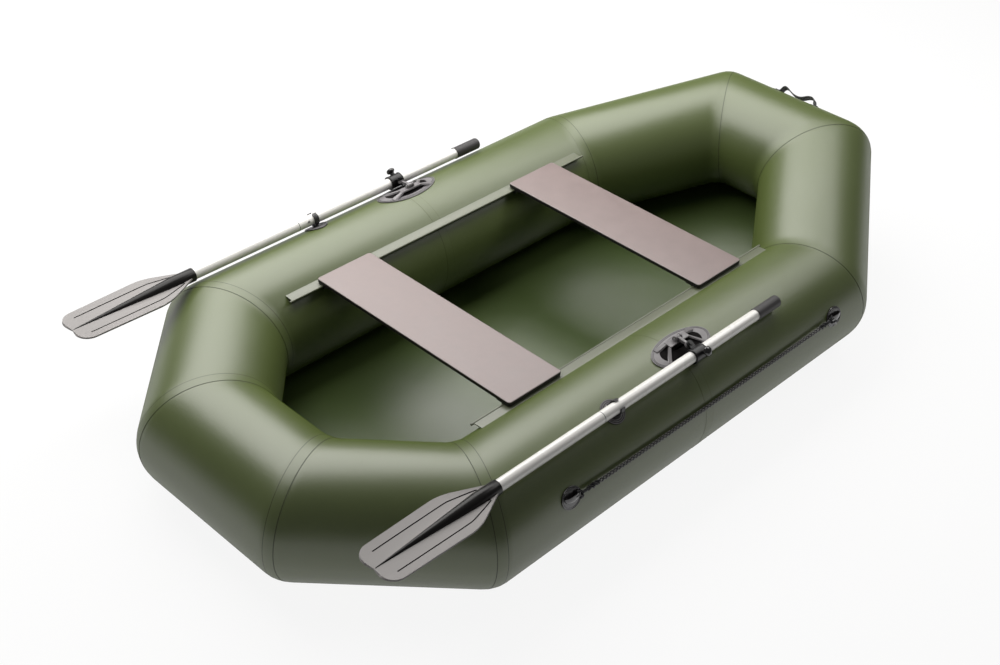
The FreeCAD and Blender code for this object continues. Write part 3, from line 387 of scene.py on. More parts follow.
# %% Effects and ranges in a material
def place_effect(material, group, values):
    """A node group in a material, fed with object coordinates."""
    nodes = material.node_tree.nodes
    node = nodes.new("ShaderNodeGroup")
    node.node_tree = group
    where = nodes.new("ShaderNodeTexCoord")
    material.node_tree.links.new(where.outputs["Object"], node.inputs["Vector"])
    for label, value in values.items():
        node.inputs[label].default_value = value
    return node


def map_range(tree, value, **limits):
    """A Map Range node that turns a value into one between two limits."""
    node = tree.nodes.new("ShaderNodeMapRange")
    for label, limit in limits.items():
        node.inputs[label.replace("_", " ").title()].default_value = limit
    tree.links.new(value, node.inputs["Value"])
    return node.outputs["Result"]


print("effects to place:", mottle.name, coated_cloth.name, mould_grain.name, long_grain.name)

# %% The finish helper
COAT_ROUGHNESS = 0.1
RIM_STARTS = 0.45
RIM_ENDS = 0.95


def finish(name, light, dark, roughness, bump_group=coated_cloth, bump=0.1, bump_height=0.0004,
           bump_values=None, tone_scale=4.0, contrast=1.0, metallic=0.0, specular=0.5, coat=0.0,
           sheen=0.0, rim=None):
    """A material: two close tones in linear colour, a low and a high roughness, and an effect for its bump.
    With a rim, the shine falls to that level where the surface turns away."""
    material = bpy.data.materials.new(name)
    material.use_nodes = True
    tree = material.node_tree
    shader = tree.nodes["Principled BSDF"]
    for label, value in (("Metallic", metallic), ("Specular IOR Level", specular), ("Coat Weight", coat),
                         ("Coat Roughness", COAT_ROUGHNESS), ("Sheen Weight", sheen)):
        shader.inputs[label].default_value = value
    tone = place_effect(material, mottle, {"Light": (*light, 1), "Dark": (*dark, 1), "Scale": tone_scale,
                                           "Contrast": contrast})
    tree.links.new(tone.outputs["Color"], shader.inputs["Base Color"])
    span = map_range(tree, tone.outputs["Mask"], to_min=roughness[0], to_max=roughness[1])
    tree.links.new(span, shader.inputs["Roughness"])
    relief = place_effect(material, bump_group, bump_values or {})
    raised = tree.nodes.new("ShaderNodeBump")
    raised.inputs["Strength"].default_value = bump
    raised.inputs["Distance"].default_value = bump_height
    tree.links.new(relief.outputs["Height"], raised.inputs["Height"])
    tree.links.new(raised.outputs["Normal"], shader.inputs["Normal"])
    if rim is not None:
        turned = tree.nodes.new("ShaderNodeLayerWeight")
        fall = map_range(tree, turned.outputs["Facing"], from_min=RIM_STARTS, from_max=RIM_ENDS,
                         to_min=specular, to_max=rim)
        tree.links.new(fall, shader.inputs["Specular IOR Level"])
    return material


print("every finish takes its tones from", mottle.name)

# %% Fabric finishes
FABRIC = ((0.080, 0.106, 0.029), (0.072, 0.095, 0.026))
hull_pvc = finish("hull_pvc", *FABRIC, (0.34, 0.42), bump=0.25, bump_height=0.0006,
                  bump_values={"Weave": 0.06, "Waves": 1.0}, specular=0.9, rim=0.0)
tape_pvc = finish("tape_pvc", *FABRIC, (0.36, 0.44), bump=0.25, bump_height=0.0006,
                  bump_values={"Weave": 0.06, "Waves": 0.3}, specular=0.9, rim=0.0)
# The seams' dark edge: partly the glue and the tape's cut edge, and partly painted shade along the tape's
# edge.
seam_glue_and_shade = finish("seam_glue_and_shade", (0.036, 0.042, 0.015), (0.026, 0.031, 0.012), (0.5, 0.6))
seam_faint = finish("seam_faint", (0.070, 0.080, 0.026), (0.062, 0.072, 0.023), (0.45, 0.55))
floor_pvc = finish("floor_pvc", (0.060, 0.090, 0.024), (0.050, 0.077, 0.020), (0.28, 0.38), bump=0.4,
                   bump_height=0.003, bump_values={"Weave": 0.02, "Waves": 1.0}, specular=0.85)
rail_pvc = finish("rail_pvc", (0.110, 0.122, 0.074), (0.094, 0.104, 0.063), (0.35, 0.45), specular=0.9)
print("fabric finishes:", [m.name for m in bpy.data.materials if m.name.endswith("pvc")])

# %% [markdown]
# ## Grab lines
#
# The rope goes first, because its route is settled in the CAD. Its line is a smooth curve with the CAD's
# route points as control points. A braided rope is six strands, three turning each way, that pass over and
# under each other. A plain tube with a bump would lose the braid's outline, so each strand is modelled: it
# winds round the rope's line, and its distance from the middle rises and falls as it crosses the others.

# %% The rope's route
ROPE_XS = (-0.520, -0.448, -0.356, -0.246, -0.122, 0.012, 0.138, 0.242, 0.334, 0.400)
ROPE_SAG_DEGREES = 1.2
ROPE_END_HEIGHT = 0.0102
ROPE_SETTLE = 0.0037
EYE_ENDS = ("stern", "bow")
EYE_XS = (-0.605, 0.480)
EYE_ANGLES = (68.0, 70.8)


def rope_route():
    """The route's points on the starboard tube, from the stern hitch to the bow hitch."""
    points = []
    for x in ROPE_XS:
        share = (x - ROPE_XS[0]) / (ROPE_XS[-1] - ROPE_XS[0])
        droop = 1 - (2 * share - 1) ** 2
        level = EYE_ANGLES[0] + (EYE_ANGLES[1] - EYE_ANGLES[0]) * share
        points.append(on_tube(level + ROPE_SAG_DEGREES * droop, ROPE_END_HEIGHT - ROPE_SETTLE * droop, x))
    return points


route = rope_route()
print("the rope's route has", len(route), "points")


# %% Smooth lines
def curve_points(curve):
    """The mesh of a curve as a bmesh. The curve itself is used up."""
    holder = bpy.data.objects.new("curve", curve)
    mesh = bpy.data.meshes.new_from_object(holder)
    bm = bmesh.new()
    bm.from_mesh(mesh)
    bpy.data.objects.remove(holder)
    bpy.data.curves.remove(curve)
    bpy.data.meshes.remove(mesh)
    return bm


def smooth_line(name, points, steps=24):
    """Points along the smooth curve that has the given points as its control points."""
    curve = bpy.data.curves.new(name, "CURVE")
    curve.dimensions = "3D"
    curve.resolution_u = steps
    spline = curve.splines.new("NURBS")
    spline.points.add(len(points) - 1)
    for slot, point in zip(spline.points, points):
        slot.co = (*point, 1)
    spline.order_u = 3
    spline.use_endpoint_u = True
    bm = curve_points(curve)
    line = [vert.co.copy() for vert in bm.verts]
    bm.free()
    return line


smooth_route = smooth_line("grab_line_route", route)
print("the smooth route has", len(smooth_route), "points")

# %% Evenly spaced lines
ROPE_STEP = 0.0024


def line_length(line):
    return sum((b - a).length for a, b in zip(line, line[1:]))


def evenly(line, gap):
    """The same line with its points a set distance apart."""
    count = max(2, round(line_length(line) / gap))
    wanted = line_length(line) / count
    points = [line[0]]
    travelled = 0.0
    for start, end in zip(line, line[1:]):
        run = (end - start).length
        while len(points) < count and travelled + run >= wanted * len(points):
            points.append(start.lerp(end, (wanted * len(points) - travelled) / run))
        travelled += run
    return points + [line[-1]]


rope_line = evenly(smooth_route, ROPE_STEP)
print("grab line:", round(line_length(rope_line), 4), "m in", len(rope_line), "steps")

# %% Round bars
SAME_POINT = 1e-7


def round_bars(lines, radius, closed=False):
    """A bmesh of round bars, one along each row of points, made from a bevelled curve."""
    curve = bpy.data.curves.new("bars", "CURVE")
    curve.dimensions = "3D"
    curve.bevel_depth = radius
    curve.bevel_resolution = 1
    curve.use_fill_caps = True
    for line in lines:
        spline = curve.splines.new("POLY")
        spline.points.add(len(line) - 1)
        spline.use_cyclic_u = closed
        for slot, point in zip(spline.points, line):
            slot.co = (*point, 1)
    bm = curve_points(curve)
    bmesh.ops.remove_doubles(bm, verts=bm.verts, dist=SAME_POINT)
    bmesh.ops.recalc_face_normals(bm, faces=bm.faces)
    return bm


print("a bar's points are joined when they are closer than", SAME_POINT, "m")

# %% Strands
BRAID_STRANDS = 6
STRAND_SHARE = 0.19
STRAND_INSET = 1.4
STRAND_WEAVE = 0.4


def strand_frames(line):
    """For each point of a line, its place and two directions across it that don't twist."""
    frames = []
    side = Vector((0, 0, 1))
    for index, point in enumerate(line):
        ahead = line[min(index + 1, len(line) - 1)] - line[max(index - 1, 0)]
        ahead.normalize()
        side = (side - ahead * side.dot(ahead)).normalized()
        frames.append((point, side, ahead.cross(side)))
    return frames


def braid_lines(line, diameter, lay_length):
    """The strands' lines: half wind each way, and each rises over and dips under the others in turn."""
    thick = diameter * STRAND_SHARE
    middle = diameter / 2 - thick * STRAND_INSET
    gap = line_length(line) / (len(line) - 1)
    frames = strand_frames(line)
    lines = []
    for strand in range(BRAID_STRANDS):
        way = 1 if strand % 2 == 0 else -1
        start = 4 * math.pi * (strand // 2) / BRAID_STRANDS
        centres = []
        for index, (point, side, over) in enumerate(frames):
            travelled = 2 * math.pi * index * gap / lay_length
            radius = middle + way * STRAND_WEAVE * thick * math.cos(BRAID_STRANDS / 2 * travelled)
            turn = way * travelled + start
            centres.append(point + side * (radius * math.cos(turn)) + over * (radius * math.sin(turn)))
        lines.append(centres)
    return lines, thick


print("a braid has", BRAID_STRANDS, "strands")

# %% The two ropes
BRAID_WIDTH = 0.0120
BRAID_LAY = 0.038
TWISTED_YARN = {"bump_group": long_grain, "bump": 0.5, "bump_height": 0.0002,
                "bump_values": {"Stretch": (2500, 2500, 2500)}, "tone_scale": 300}
braid_rope = finish("braid_rope", (0.010, 0.010, 0.013), (0.004, 0.004, 0.005), (0.36, 0.50),
                    specular=0.35, **TWISTED_YARN)
# Half the strands, the three that turn one way, are pale grey: painted highlight, for the sheen along the
# black braid.
braid_painted_highlight = finish("braid_painted_highlight", (0.150, 0.150, 0.142), (0.100, 0.100, 0.094), (0.40, 0.55),
                      **TWISTED_YARN)

strands, strand_radius = braid_lines(rope_line, BRAID_WIDTH, BRAID_LAY)
rope_bm = round_bars(strands[0::2], strand_radius)
highlight_strands_bm = round_bars(strands[1::2], strand_radius)
for face in highlight_strands_bm.faces:
    face.material_index = 1
add_to(rope_bm, highlight_strands_bm)
both_sides("grab_line_braid", rope_bm, [braid_rope, braid_painted_highlight], "rope", smooth=60, replaced="grab_line")

# %% [markdown]
# ## Hull
#
# The hull is a ring of eight tubes, each cut at its ends on the plane that it shares with its neighbour.
# One circle is carried round the ring: at each corner its points slide along the tube's axis until they
# lie on that plane, and extruding from plane to plane gives all eight tubes at once, with no gap between
# them. Air rounds a welded corner a little, so the corners are bevelled. The skin is then cut up into the
# real tubes.

# %% The hull's corners
STERN_X = -1.040
STERN_Y = 0.187
SIDE_STERN_X = -0.765
SIDE_BOW_X = 0.600
BOW_X = 1.040
BOW_Y = 0.178
BOW_RISE = 0.118
TUBES = ("tube_quarter_stern_port", "tube_side_port", "tube_quarter_bow_port", "tube_bow",
         "tube_quarter_bow_starboard", "tube_side_starboard", "tube_quarter_stern_starboard", "tube_stern")
COUNT = len(TUBES)

half_ring = [(STERN_X, STERN_Y, 0), (SIDE_STERN_X, SIDE_Y, 0), (SIDE_BOW_X, SIDE_Y, 0),
             (BOW_X, BOW_Y, BOW_RISE)]
corners = [Vector((x, y, AXIS_Z + rise)) for x, y, rise in half_ring]
corners += [Vector((p.x, -p.y, p.z)) for p in reversed(corners)]
tube_ways = [(corners[(i + 1) % COUNT] - corners[i]).normalized() for i in range(COUNT)]
mitres = [(tube_ways[i - 1] + tube_ways[i]).normalized() for i in range(COUNT)]
print("tube lengths:", [round((corners[(i + 1) % COUNT] - corners[i]).length, 3) for i in range(COUNT)])


# %% The skin
SKIN_SIDES = 96
SAME_CORNER = 1e-5


def slide_to_plane(verts, way, corner, normal):
    """Move points along a tube's axis until they lie on the plane at a corner."""
    for vert in verts:
        vert.co += way * ((corner - vert.co).dot(normal) / way.dot(normal))


skin_bm = bmesh.new()
circle = bmesh.ops.create_circle(skin_bm, cap_ends=False, segments=SKIN_SIDES, radius=TUBE_RADIUS)["verts"]
way = tube_ways[0]
upright = Vector((0, 0, 1))
across = way.cross(upright).normalized()
turned = Matrix((across, upright, -way)).transposed().to_4x4()
bmesh.ops.transform(skin_bm, matrix=Matrix.Translation(corners[0]) @ turned, verts=circle)
slide_to_plane(circle, way, corners[0], mitres[0])
ring_edges = list(skin_bm.edges)
for index in range(COUNT):
    grown = bmesh.ops.extrude_edge_only(skin_bm, edges=ring_edges)["geom"]
    ring = only(grown, bmesh.types.BMVert)
    ring_edges = [e for e in only(grown, bmesh.types.BMEdge) if e.verts[0] in ring and e.verts[1] in ring]
    after = (index + 1) % COUNT
    slide_to_plane(ring, tube_ways[index], corners[after], mitres[after])
joined = len(skin_bm.verts)
bmesh.ops.remove_doubles(skin_bm, verts=skin_bm.verts, dist=SAME_CORNER)
bmesh.ops.recalc_face_normals(skin_bm, faces=skin_bm.faces)
print("skin:", joined, "->", len(skin_bm.verts), "points,", len(skin_bm.faces), "faces")

# %% Soft corners
CORNER_SOFTNESS = 0.030
CORNER_REACH = 0.3
LONG_EDGE = 0.10


def on_mitre(edge):
    """Whether an edge lies on a corner's plane."""
    for corner, normal in zip(corners, mitres):
        away = [vert.co - corner for vert in edge.verts]
        if all(abs(a.dot(normal)) < SAME_CORNER and a.length < CORNER_REACH for a in away):
            return True
    return False


mitre_edges = [e for e in skin_bm.edges if on_mitre(e)]
bmesh.ops.bevel(skin_bm, geom=mitre_edges, offset=CORNER_SOFTNESS, offset_type="OFFSET", segments=6,
                profile=0.5, affect="EDGES", material=-1)
long_edges = [e for e in skin_bm.edges if e.calc_length() > LONG_EDGE]
bmesh.ops.subdivide_edges(skin_bm, edges=long_edges, cuts=9, use_grid_fill=True)
print("after bevel and cuts:", len(skin_bm.faces), "faces; open edges:",
      sum(1 for e in skin_bm.edges if e.is_boundary))

# %% Openings for the valves
VALVE_XS = (-0.560, 0.440)
VALVE_ANGLE = -84.0
VALVE_HOLE = 0.0130
HOLE_SIDES = 8
HOLE_SPARE = 1.05
CUT_REACH = 0.09
ON_PLANE = 1e-6


def near_faces(point, distance):
    return [f for f in skin_bm.faces if (f.calc_center_median() - point).length < distance]


for x in VALVE_XS:
    centre = on_tube(VALVE_ANGLE, 0.0, x)
    outward = (on_tube(VALVE_ANGLE, 1.0, x) - centre).normalized()
    along = Vector((1, 0, 0))
    across = outward.cross(along)
    for step in range(HOLE_SIDES):
        turn = 2 * math.pi * step / HOLE_SIDES
        side_way = along * math.cos(turn) + across * math.sin(turn)
        near = near_faces(centre, CUT_REACH)
        edges = list({e for f in near for e in f.edges})
        verts = list({v for f in near for v in f.verts})
        bmesh.ops.bisect_plane(skin_bm, geom=near + edges + verts, plane_co=centre + side_way * VALVE_HOLE,
                               plane_no=side_way, dist=ON_PLANE)
    bmesh.ops.delete(skin_bm, geom=near_faces(centre, VALVE_HOLE * HOLE_SPARE), context="FACES")
skin_bm.normal_update()
print("open edges round the valve holes:", sum(1 for e in skin_bm.edges if e.is_boundary))


# %% The eight tubes
def tube_of(face):
    """The tube that a face of the skin belongs to: one side or the other of its nearest corner."""
    middle = face.calc_center_median()
    nearest = min(range(COUNT), key=lambda i: (middle - corners[i]).length)
    return nearest if (middle - corners[nearest]).dot(mitres[nearest]) > 0 else (nearest - 1) % COUNT


def spot(point):
    return tuple(round(c, 5) for c in point)


skin_normals = {spot(v.co): v.normal.copy() for v in skin_bm.verts}
for index, name in enumerate(TUBES):
    tube_bm = skin_bm.copy()
    others = [f for f in tube_bm.faces if tube_of(f) != index]
    bmesh.ops.delete(tube_bm, geom=others, context="FACES")
    tube = make_piece(name.replace("tube_", "hull_tube_"), tube_bm, hull_pvc, smooth=180)
    tube.data.normals_split_custom_set_from_vertices([skin_normals[spot(v.co)] for v in tube.data.vertices])
    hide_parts(name)
    print(tube.name, len(tube.data.polygons), "faces")

# %% [markdown]
# ## Seams
#
# Each corner is welded edge to edge, and a tape of the same fabric covers the weld. From outside it is a
# band with two fine edges, each a dark line that is partly the glue and the tape's cut edge and partly
# painted shade along the edge. A tape could be a line in the material, but then it would have no edge for
# light to catch. So it is a strip cut out of the skin itself, which makes it follow the soft corner,
# lifted by its own thickness, with a narrow border inset along its edges for the line. At the bow the tape
# is lapped under the next panel, so only one of its edges shows.

# %% Cutting a strip out of the skin
TAPE_WIDTH = 0.029
TAPE_REACH = 0.42


def drop_beyond(bm, centre, distance):
    far = [v for v in bm.verts if (v.co - centre).length > distance]
    bmesh.ops.delete(bm, geom=far, context="VERTS")


def cut_off(bm, point, outward):
    """Cut a shape on a plane, and drop what lies on its outer side."""
    bmesh.ops.bisect_plane(bm, geom=bm.verts[:] + bm.edges[:] + bm.faces[:], plane_co=point,
                           plane_no=outward, clear_outer=True, dist=ON_PLANE)


def strip_of_skin(centre, normal):
    """The part of the skin within half a tape's width of a plane, round the tube that crosses it."""
    strip_bm = skin_bm.copy()
    drop_beyond(strip_bm, centre, TAPE_REACH)
    for way in (1, -1):
        cut_off(strip_bm, centre + normal * (way * TAPE_WIDTH / 2), normal * way)
    drop_beyond(strip_bm, centre, CORNER_REACH)
    strip_bm.normal_update()
    return strip_bm


print("a tape is cut", TAPE_WIDTH, "m wide")

# %% The seam tapes
TAPE_LIFT = 0.0006
SEAM_LINE = 0.0016
FAINT_LIFT = 0.0003
FAINT_LINE = 0.0008
TAPE_SKIRT = 1.5
CORNER_NAMES = ("stern_port", "side_stern_port", "side_bow_port", "bow_port",
                "bow_starboard", "side_bow_starboard", "side_stern_starboard", "stern_starboard")


def seam_tape(name, centre, normal, lift, line, edge_finish, both_edges):
    """A strip of the skin each side of a plane, lifted off it, with its edges drawn in a darker finish."""
    tape_bm = strip_of_skin(centre, normal)
    lifts = [(v, v.normal.copy()) for v in tape_bm.verts]
    for vert, outward in lifts:
        vert.co += outward * lift
    border = bmesh.ops.inset_region(tape_bm, faces=tape_bm.faces[:], thickness=line, depth=0.0,
                                    use_boundary=True, use_even_offset=True)["faces"]
    for face in border:
        if both_edges or (face.calc_center_median() - centre).dot(normal) > 0:
            face.material_index = 1
    rim = [e for e in tape_bm.edges if e.is_boundary]
    skirt = bmesh.ops.extrude_edge_only(tape_bm, edges=rim)["geom"]
    tape_bm.normal_update()
    for vert in only(skirt, bmesh.types.BMVert):
        from_axis = vert.co - centre
        from_axis -= normal * from_axis.dot(normal)
        vert.co -= from_axis.normalized() * lift * TAPE_SKIRT
    # The skirt down to the skin takes the darker finish too. At the corners that is partly painted shade
    # under the tape's lifted edge.
    for face in only(skirt, bmesh.types.BMFace):
        face.material_index = 1
    bmesh.ops.recalc_face_normals(tape_bm, faces=tape_bm.faces)
    make_piece(name, tape_bm, [tape_pvc, edge_finish], smooth=50)


# At the corners the dark edge finish is partly glue and cut edge, and partly painted shade along the tape's
# edge.
for index, name in enumerate(CORNER_NAMES):
    seam_tape("seam_tape_" + name, corners[index], mitres[index], TAPE_LIFT, SEAM_LINE, seam_glue_and_shade,
              both_edges="bow" not in name)
bulkhead_x = (SIDE_STERN_X + SIDE_BOW_X) / 2
for side, y in (("port", SIDE_Y), ("starboard", -SIDE_Y)):
    seam_tape("seam_bulkhead_" + side, Vector((bulkhead_x, y, AXIS_Z)), Vector((1, 0, 0)), FAINT_LIFT,
              FAINT_LINE, seam_faint, both_edges=True)
skin_bm.free()

# %% [markdown]
# ## Floor sheet
#
# The bottom is one sheet of fabric, glued round the tubes' lowest lines. It lies flat under the sides and
# the stern, and is drawn up towards the bow. It is stretched, but never quite flat: slow ripples run
# across it. One large face couldn't bend, so the sheet starts as a grid. The grid is cut to the outline
# and drawn up at the bow, with ripples that fade out at its glued edge.

# %% The floor's outline
BOW_PITCH = math.atan2(BOW_RISE, BOW_X - SIDE_BOW_X)

bend_x = SIDE_BOW_X + TUBE_RADIUS * math.tan(BOW_PITCH / 2)
reach = TUBE_RADIUS * math.sin(BOW_PITCH)
outline = [Vector((STERN_X, STERN_Y, 0)), Vector((SIDE_STERN_X, SIDE_Y, 0)),
           Vector((SIDE_BOW_X + reach, SIDE_Y, 0)), Vector((BOW_X + reach, BOW_Y, 0))]
outline += [Vector((p.x, -p.y, 0)) for p in reversed(outline)]
print("the floor's outline has", len(outline), "corners")

# %% The floor sheet
SHEET_THICKNESS = AXIS_Z - TUBE_RADIUS
SHEET_FILL = 0.98
SHEET_HALF_LENGTH = 1.15
SHEET_HALF_WIDTH = 0.5
GLUED_WIDTH = 0.02
FADE_WIDTH = 0.18
RIPPLE_HEIGHT = 0.0022


def ripples(x, y):
    """Slow waves that cross each other at a slant."""
    wave = math.sin(5.1 * x + 1.3) * math.cos(6.3 * y + 0.4 + 1.7 * x)
    return wave + 0.5 * math.sin(11.0 * y - 3.0 * x)


sheet_bm = bmesh.new()
bmesh.ops.create_grid(sheet_bm, x_segments=110, y_segments=48, size=1.0)
bmesh.ops.scale(sheet_bm, vec=(SHEET_HALF_LENGTH, SHEET_HALF_WIDTH, 1), verts=sheet_bm.verts)
edge_lines = []
for start, end in zip(outline, outline[1:] + outline[:1]):
    along = (end - start).normalized()
    outward = along.cross(Vector((0, 0, 1)))
    outward = outward if outward.dot(start) > 0 else -outward
    edge_lines.append((start, outward))
    cut_off(sheet_bm, start, outward)
flat_area = sum(f.calc_area() for f in sheet_bm.faces)
for vert in sheet_bm.verts:
    inside = min(-(vert.co - start).dot(outward) for start, outward in edge_lines)
    free = min(1.0, max(0.0, inside - GLUED_WIDTH) / FADE_WIDTH)
    rise = max(0.0, vert.co.x - bend_x) * math.tan(BOW_PITCH)
    ripple = RIPPLE_HEIGHT * free * free * (1.0 + ripples(vert.co.x, vert.co.y))
    vert.co.z = SHEET_THICKNESS + rise + ripple


def face_up(bm):
    """Turn an open sheet's faces the same way, upwards."""
    bmesh.ops.recalc_face_normals(bm, faces=bm.faces)
    if sum(f.normal.z for f in bm.faces) < 0:
        bmesh.ops.reverse_faces(bm, faces=bm.faces)


face_up(sheet_bm)
floor_sheet = make_piece("floor_panel", sheet_bm, floor_pvc, smooth=180)
thickness = floor_sheet.modifiers.new("thickness", "SOLIDIFY")
thickness.thickness = SHEET_THICKNESS * SHEET_FILL
thickness.offset = -1
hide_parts("floor_sheet")
print("floor sheet:", round(flat_area, 3), "square metres")

# %% [markdown]
# ## Parts whose CAD shape is right
#
# A rail, a shaft or a pin already has its true shape, but its edges are knife-sharp, and light catches no
# real edge that way. A copy of such a part is merged, its flat faces are joined up, and a small bevel goes
# round its edges. The copy stands for the CAD part, in the same place and on the same body.

# %% Softened copies of CAD parts
LOOSE_POINTS = 2e-6
FLAT_ANGLE = math.radians(0.4)
EDGE_DEGREES = 32
bodies = frame["record"]["behaviour"]["bodies"]
node_bodies = {node: body for body, nodes in bodies.items() for node in nodes}


def cad_copy(node):
    """A CAD node's mesh as a bmesh, its loose triangles merged and its flat faces joined."""
    bm = bmesh.new()
    bm.from_mesh(frame["nodes"][node].data)
    bmesh.ops.remove_doubles(bm, verts=bm.verts, dist=LOOSE_POINTS)
    bmesh.ops.dissolve_limit(bm, angle_limit=FLAT_ANGLE, verts=bm.verts, edges=bm.edges)
    return bm


def softened(node, name, looks, edge, segments=2):
    """A CAD part with softened edges of a given width, dressed in a finish."""
    piece = make_piece(name, cad_copy(node), looks, body=node_bodies[node], smooth=EDGE_DEGREES)
    if edge > 0:
        bevel = piece.modifiers.new("edges", "BEVEL")
        bevel.width = edge
        bevel.segments = segments
        bevel.limit_method = "ANGLE"
        bevel.angle_limit = math.radians(EDGE_DEGREES)
        bevel.harden_normals = True
    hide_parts(node)
    return piece


def dress(node, look):
    """A CAD part that keeps its own mesh, in a new finish."""
    piece = frame["nodes"][node]
    piece.data.materials.clear()
    piece.data.materials.append(look)


print("parts that ride on the hull:", sum(1 for body in node_bodies.values() if body == "hull"))

# %% [markdown]
# ## Bench rails and benches
#
# A rail is a flap of thick fabric with a cord sewn into its edge, so that it is matt and pale. A bench is
# a plywood board with a hard, slightly rough film on its top, nearly black edges, and a fine pale line
# where the film is cut. The top, the cut line and the edges are told apart by which way their faces point.

# %% Bench finishes
film_top = finish("film_top", (0.208, 0.156, 0.148), (0.178, 0.133, 0.127), (0.36, 0.46),
                  bump_group=mould_grain, bump=0.35, bump_height=0.0003, bump_values={"Scale": 650},
                  tone_scale=26, contrast=1.6, specular=0.8)
film_edge = finish("film_edge", (0.20, 0.16, 0.15), (0.16, 0.13, 0.12), (0.30, 0.40), specular=0.8)
ply_edge = finish("ply_edge", (0.012, 0.010, 0.009), (0.006, 0.005, 0.005), (0.5, 0.65),
                  bump_group=long_grain, bump=0.3, bump_height=0.0003,
                  bump_values={"Stretch": (6, 6, 900)}, tone_scale=40)
runner_black = finish("runner_black", (0.016, 0.016, 0.017), (0.009, 0.009, 0.010), (0.38, 0.5),
                      bump_group=mould_grain, bump=0.2, bump_height=0.0002, tone_scale=30)
zinc = finish("zinc", (0.56, 0.56, 0.55), (0.42, 0.42, 0.41), (0.28, 0.42), bump_group=long_grain, bump=0.2,
              bump_height=0.0001, bump_values={"Stretch": (900, 900, 60)}, metallic=1.0, tone_scale=200)
print("bench finishes:", film_top.name, film_edge.name, ply_edge.name, runner_black.name, zinc.name)

# %% Rails and benches
FACES_UP = 0.985
FACES_PARTLY_UP = 0.45

for side in SIDES:
    softened("seat_rail_" + side, "rail_" + side, rail_pvc, 0.0005)
for end in ("stern", "bow"):
    board = softened(end + "_bench_board", end + "_bench", [film_top, film_edge, ply_edge], 0.0)
    for face in board.data.polygons:
        up = face.normal.z
        face.material_index = 0 if up > FACES_UP else 1 if up > FACES_PARTLY_UP else 2
    softened(end + "_bench_runners", end + "_bench_channels", runner_black, 0.0005)
    dress(end + "_bench_screws", zinc)

# %% [markdown]
# ## Oars
#
# The shafts are aluminium tube with a white coat, joined in the middle by a spring button. The joint shows
# as a fine dark ring. The grip is soft rubber with a fine pebbled skin.

# %% Shafts, grips, buttons
shaft_white = finish("shaft_white", (0.80, 0.79, 0.76), (0.75, 0.74, 0.71), (0.22, 0.32),
                     bump_group=long_grain, bump=0.08, bump_height=0.0001,
                     bump_values={"Stretch": (3, 120, 120)}, coat=0.5, tone_scale=9)
grip_rubber = finish("grip_rubber", (0.036, 0.033, 0.034), (0.024, 0.022, 0.023), (0.50, 0.62),
                     bump_group=mould_grain, bump=0.6, bump_height=0.0004, bump_values={"Scale": 420},
                     tone_scale=50, specular=0.6)
spring_steel = finish("spring_steel", (0.50, 0.48, 0.44), (0.38, 0.36, 0.33), (0.25, 0.35),
                      bump_group=long_grain, bump=0.2, bump_height=0.0001, metallic=1.0, tone_scale=120)
black_rubber = finish("black_rubber", (0.020, 0.019, 0.020), (0.012, 0.011, 0.012), (0.34, 0.50),
                      bump_group=mould_grain, bump=0.25, bump_height=0.0003, bump_values={"Scale": 700},
                      tone_scale=40, specular=0.6)

for side in SIDES:
    softened("oar_upper_shaft_" + side, "shaft_inner_" + side, shaft_white, 0.0006)
    softened("oar_lower_shaft_" + side, "shaft_outer_" + side, shaft_white, 0.0006)
    softened("oar_grip_" + side, "grip_" + side, grip_rubber, 0.0008)
    dress("snap_button_" + side, zinc)
    dress("snap_spring_" + side, spring_steel)

# %% Rings on the shafts
SHAFT_RADIUS = 0.0155
SHAFT_ANGLE = 28.2
SHAFT_STAND = 0.025
JOINT_X = -0.437
GRIP_X = 0.180
RING_FLATNESS = 0.6
QUARTER_TURN = math.radians(90)


def shaft_at(x):
    return on_tube(SHAFT_ANGLE, SHAFT_STAND, x)


def shaft_ring(name, x, width, radius, look, slot):
    """A thin ring round each oar's shaft: a circle spun from a small rounded section."""
    bm = bmesh.new()
    bmesh.ops.create_circle(bm, cap_ends=False, segments=8, radius=width / 2)
    bmesh.ops.rotate(bm, verts=bm.verts, cent=(0, 0, 0), matrix=Matrix.Rotation(QUARTER_TURN, 3, "X"))
    bmesh.ops.scale(bm, vec=(1, 1, RING_FLATNESS), verts=bm.verts)
    bmesh.ops.translate(bm, vec=Vector((0, 0, radius)), verts=bm.verts)
    bmesh.ops.spin(bm, geom=bm.verts[:] + bm.edges[:], cent=(0, 0, 0), axis=(1, 0, 0), steps=48,
                   angle=2 * math.pi, use_merge=True)
    bmesh.ops.recalc_face_normals(bm, faces=bm.faces)
    bmesh.ops.translate(bm, vec=shaft_at(x), verts=bm.verts)
    both_sides(name, bm, look, slot, body="oar_SIDE", smooth=60)


shaft_ring("shaft_joint", JOINT_X, width=0.0018, radius=SHAFT_RADIUS - 0.0002, look=black_rubber,
           slot="black_plastic")
shaft_ring("grip_lip", GRIP_X, width=0.0026, radius=0.0170, look=black_rubber, slot="grip_rubber")

# %% [markdown]
# ## Oar blades
#
# A blade is moulded: a thin grey plate, dished a little, with a stiff black spine that starts as the
# socket round the shaft and tapers to a fine line at the tip, and a sunken rib line along each half. The
# plate is a grid whose width follows the outline, because its even rows of points give a smooth dish. It
# is then raised towards the spine and given its thickness. The spine is a cone with a socket drawn out of
# its thick end. Each rib line is a thin bar let into the plate, so that it stays sharp from close by.

# %% The blade's outline
BLADE_ROOT_X = -0.800
BLADE_TIP_X = -1.167
NECK_HALF = 0.016
SHOULDER_X = -0.940
SHOULDER_HALF = 0.068
SHOULDER_BEND = 0.55
SHOULDER_SWELL = 0.29
TIP_ROUND = 0.038
TIP_HALF = 0.064


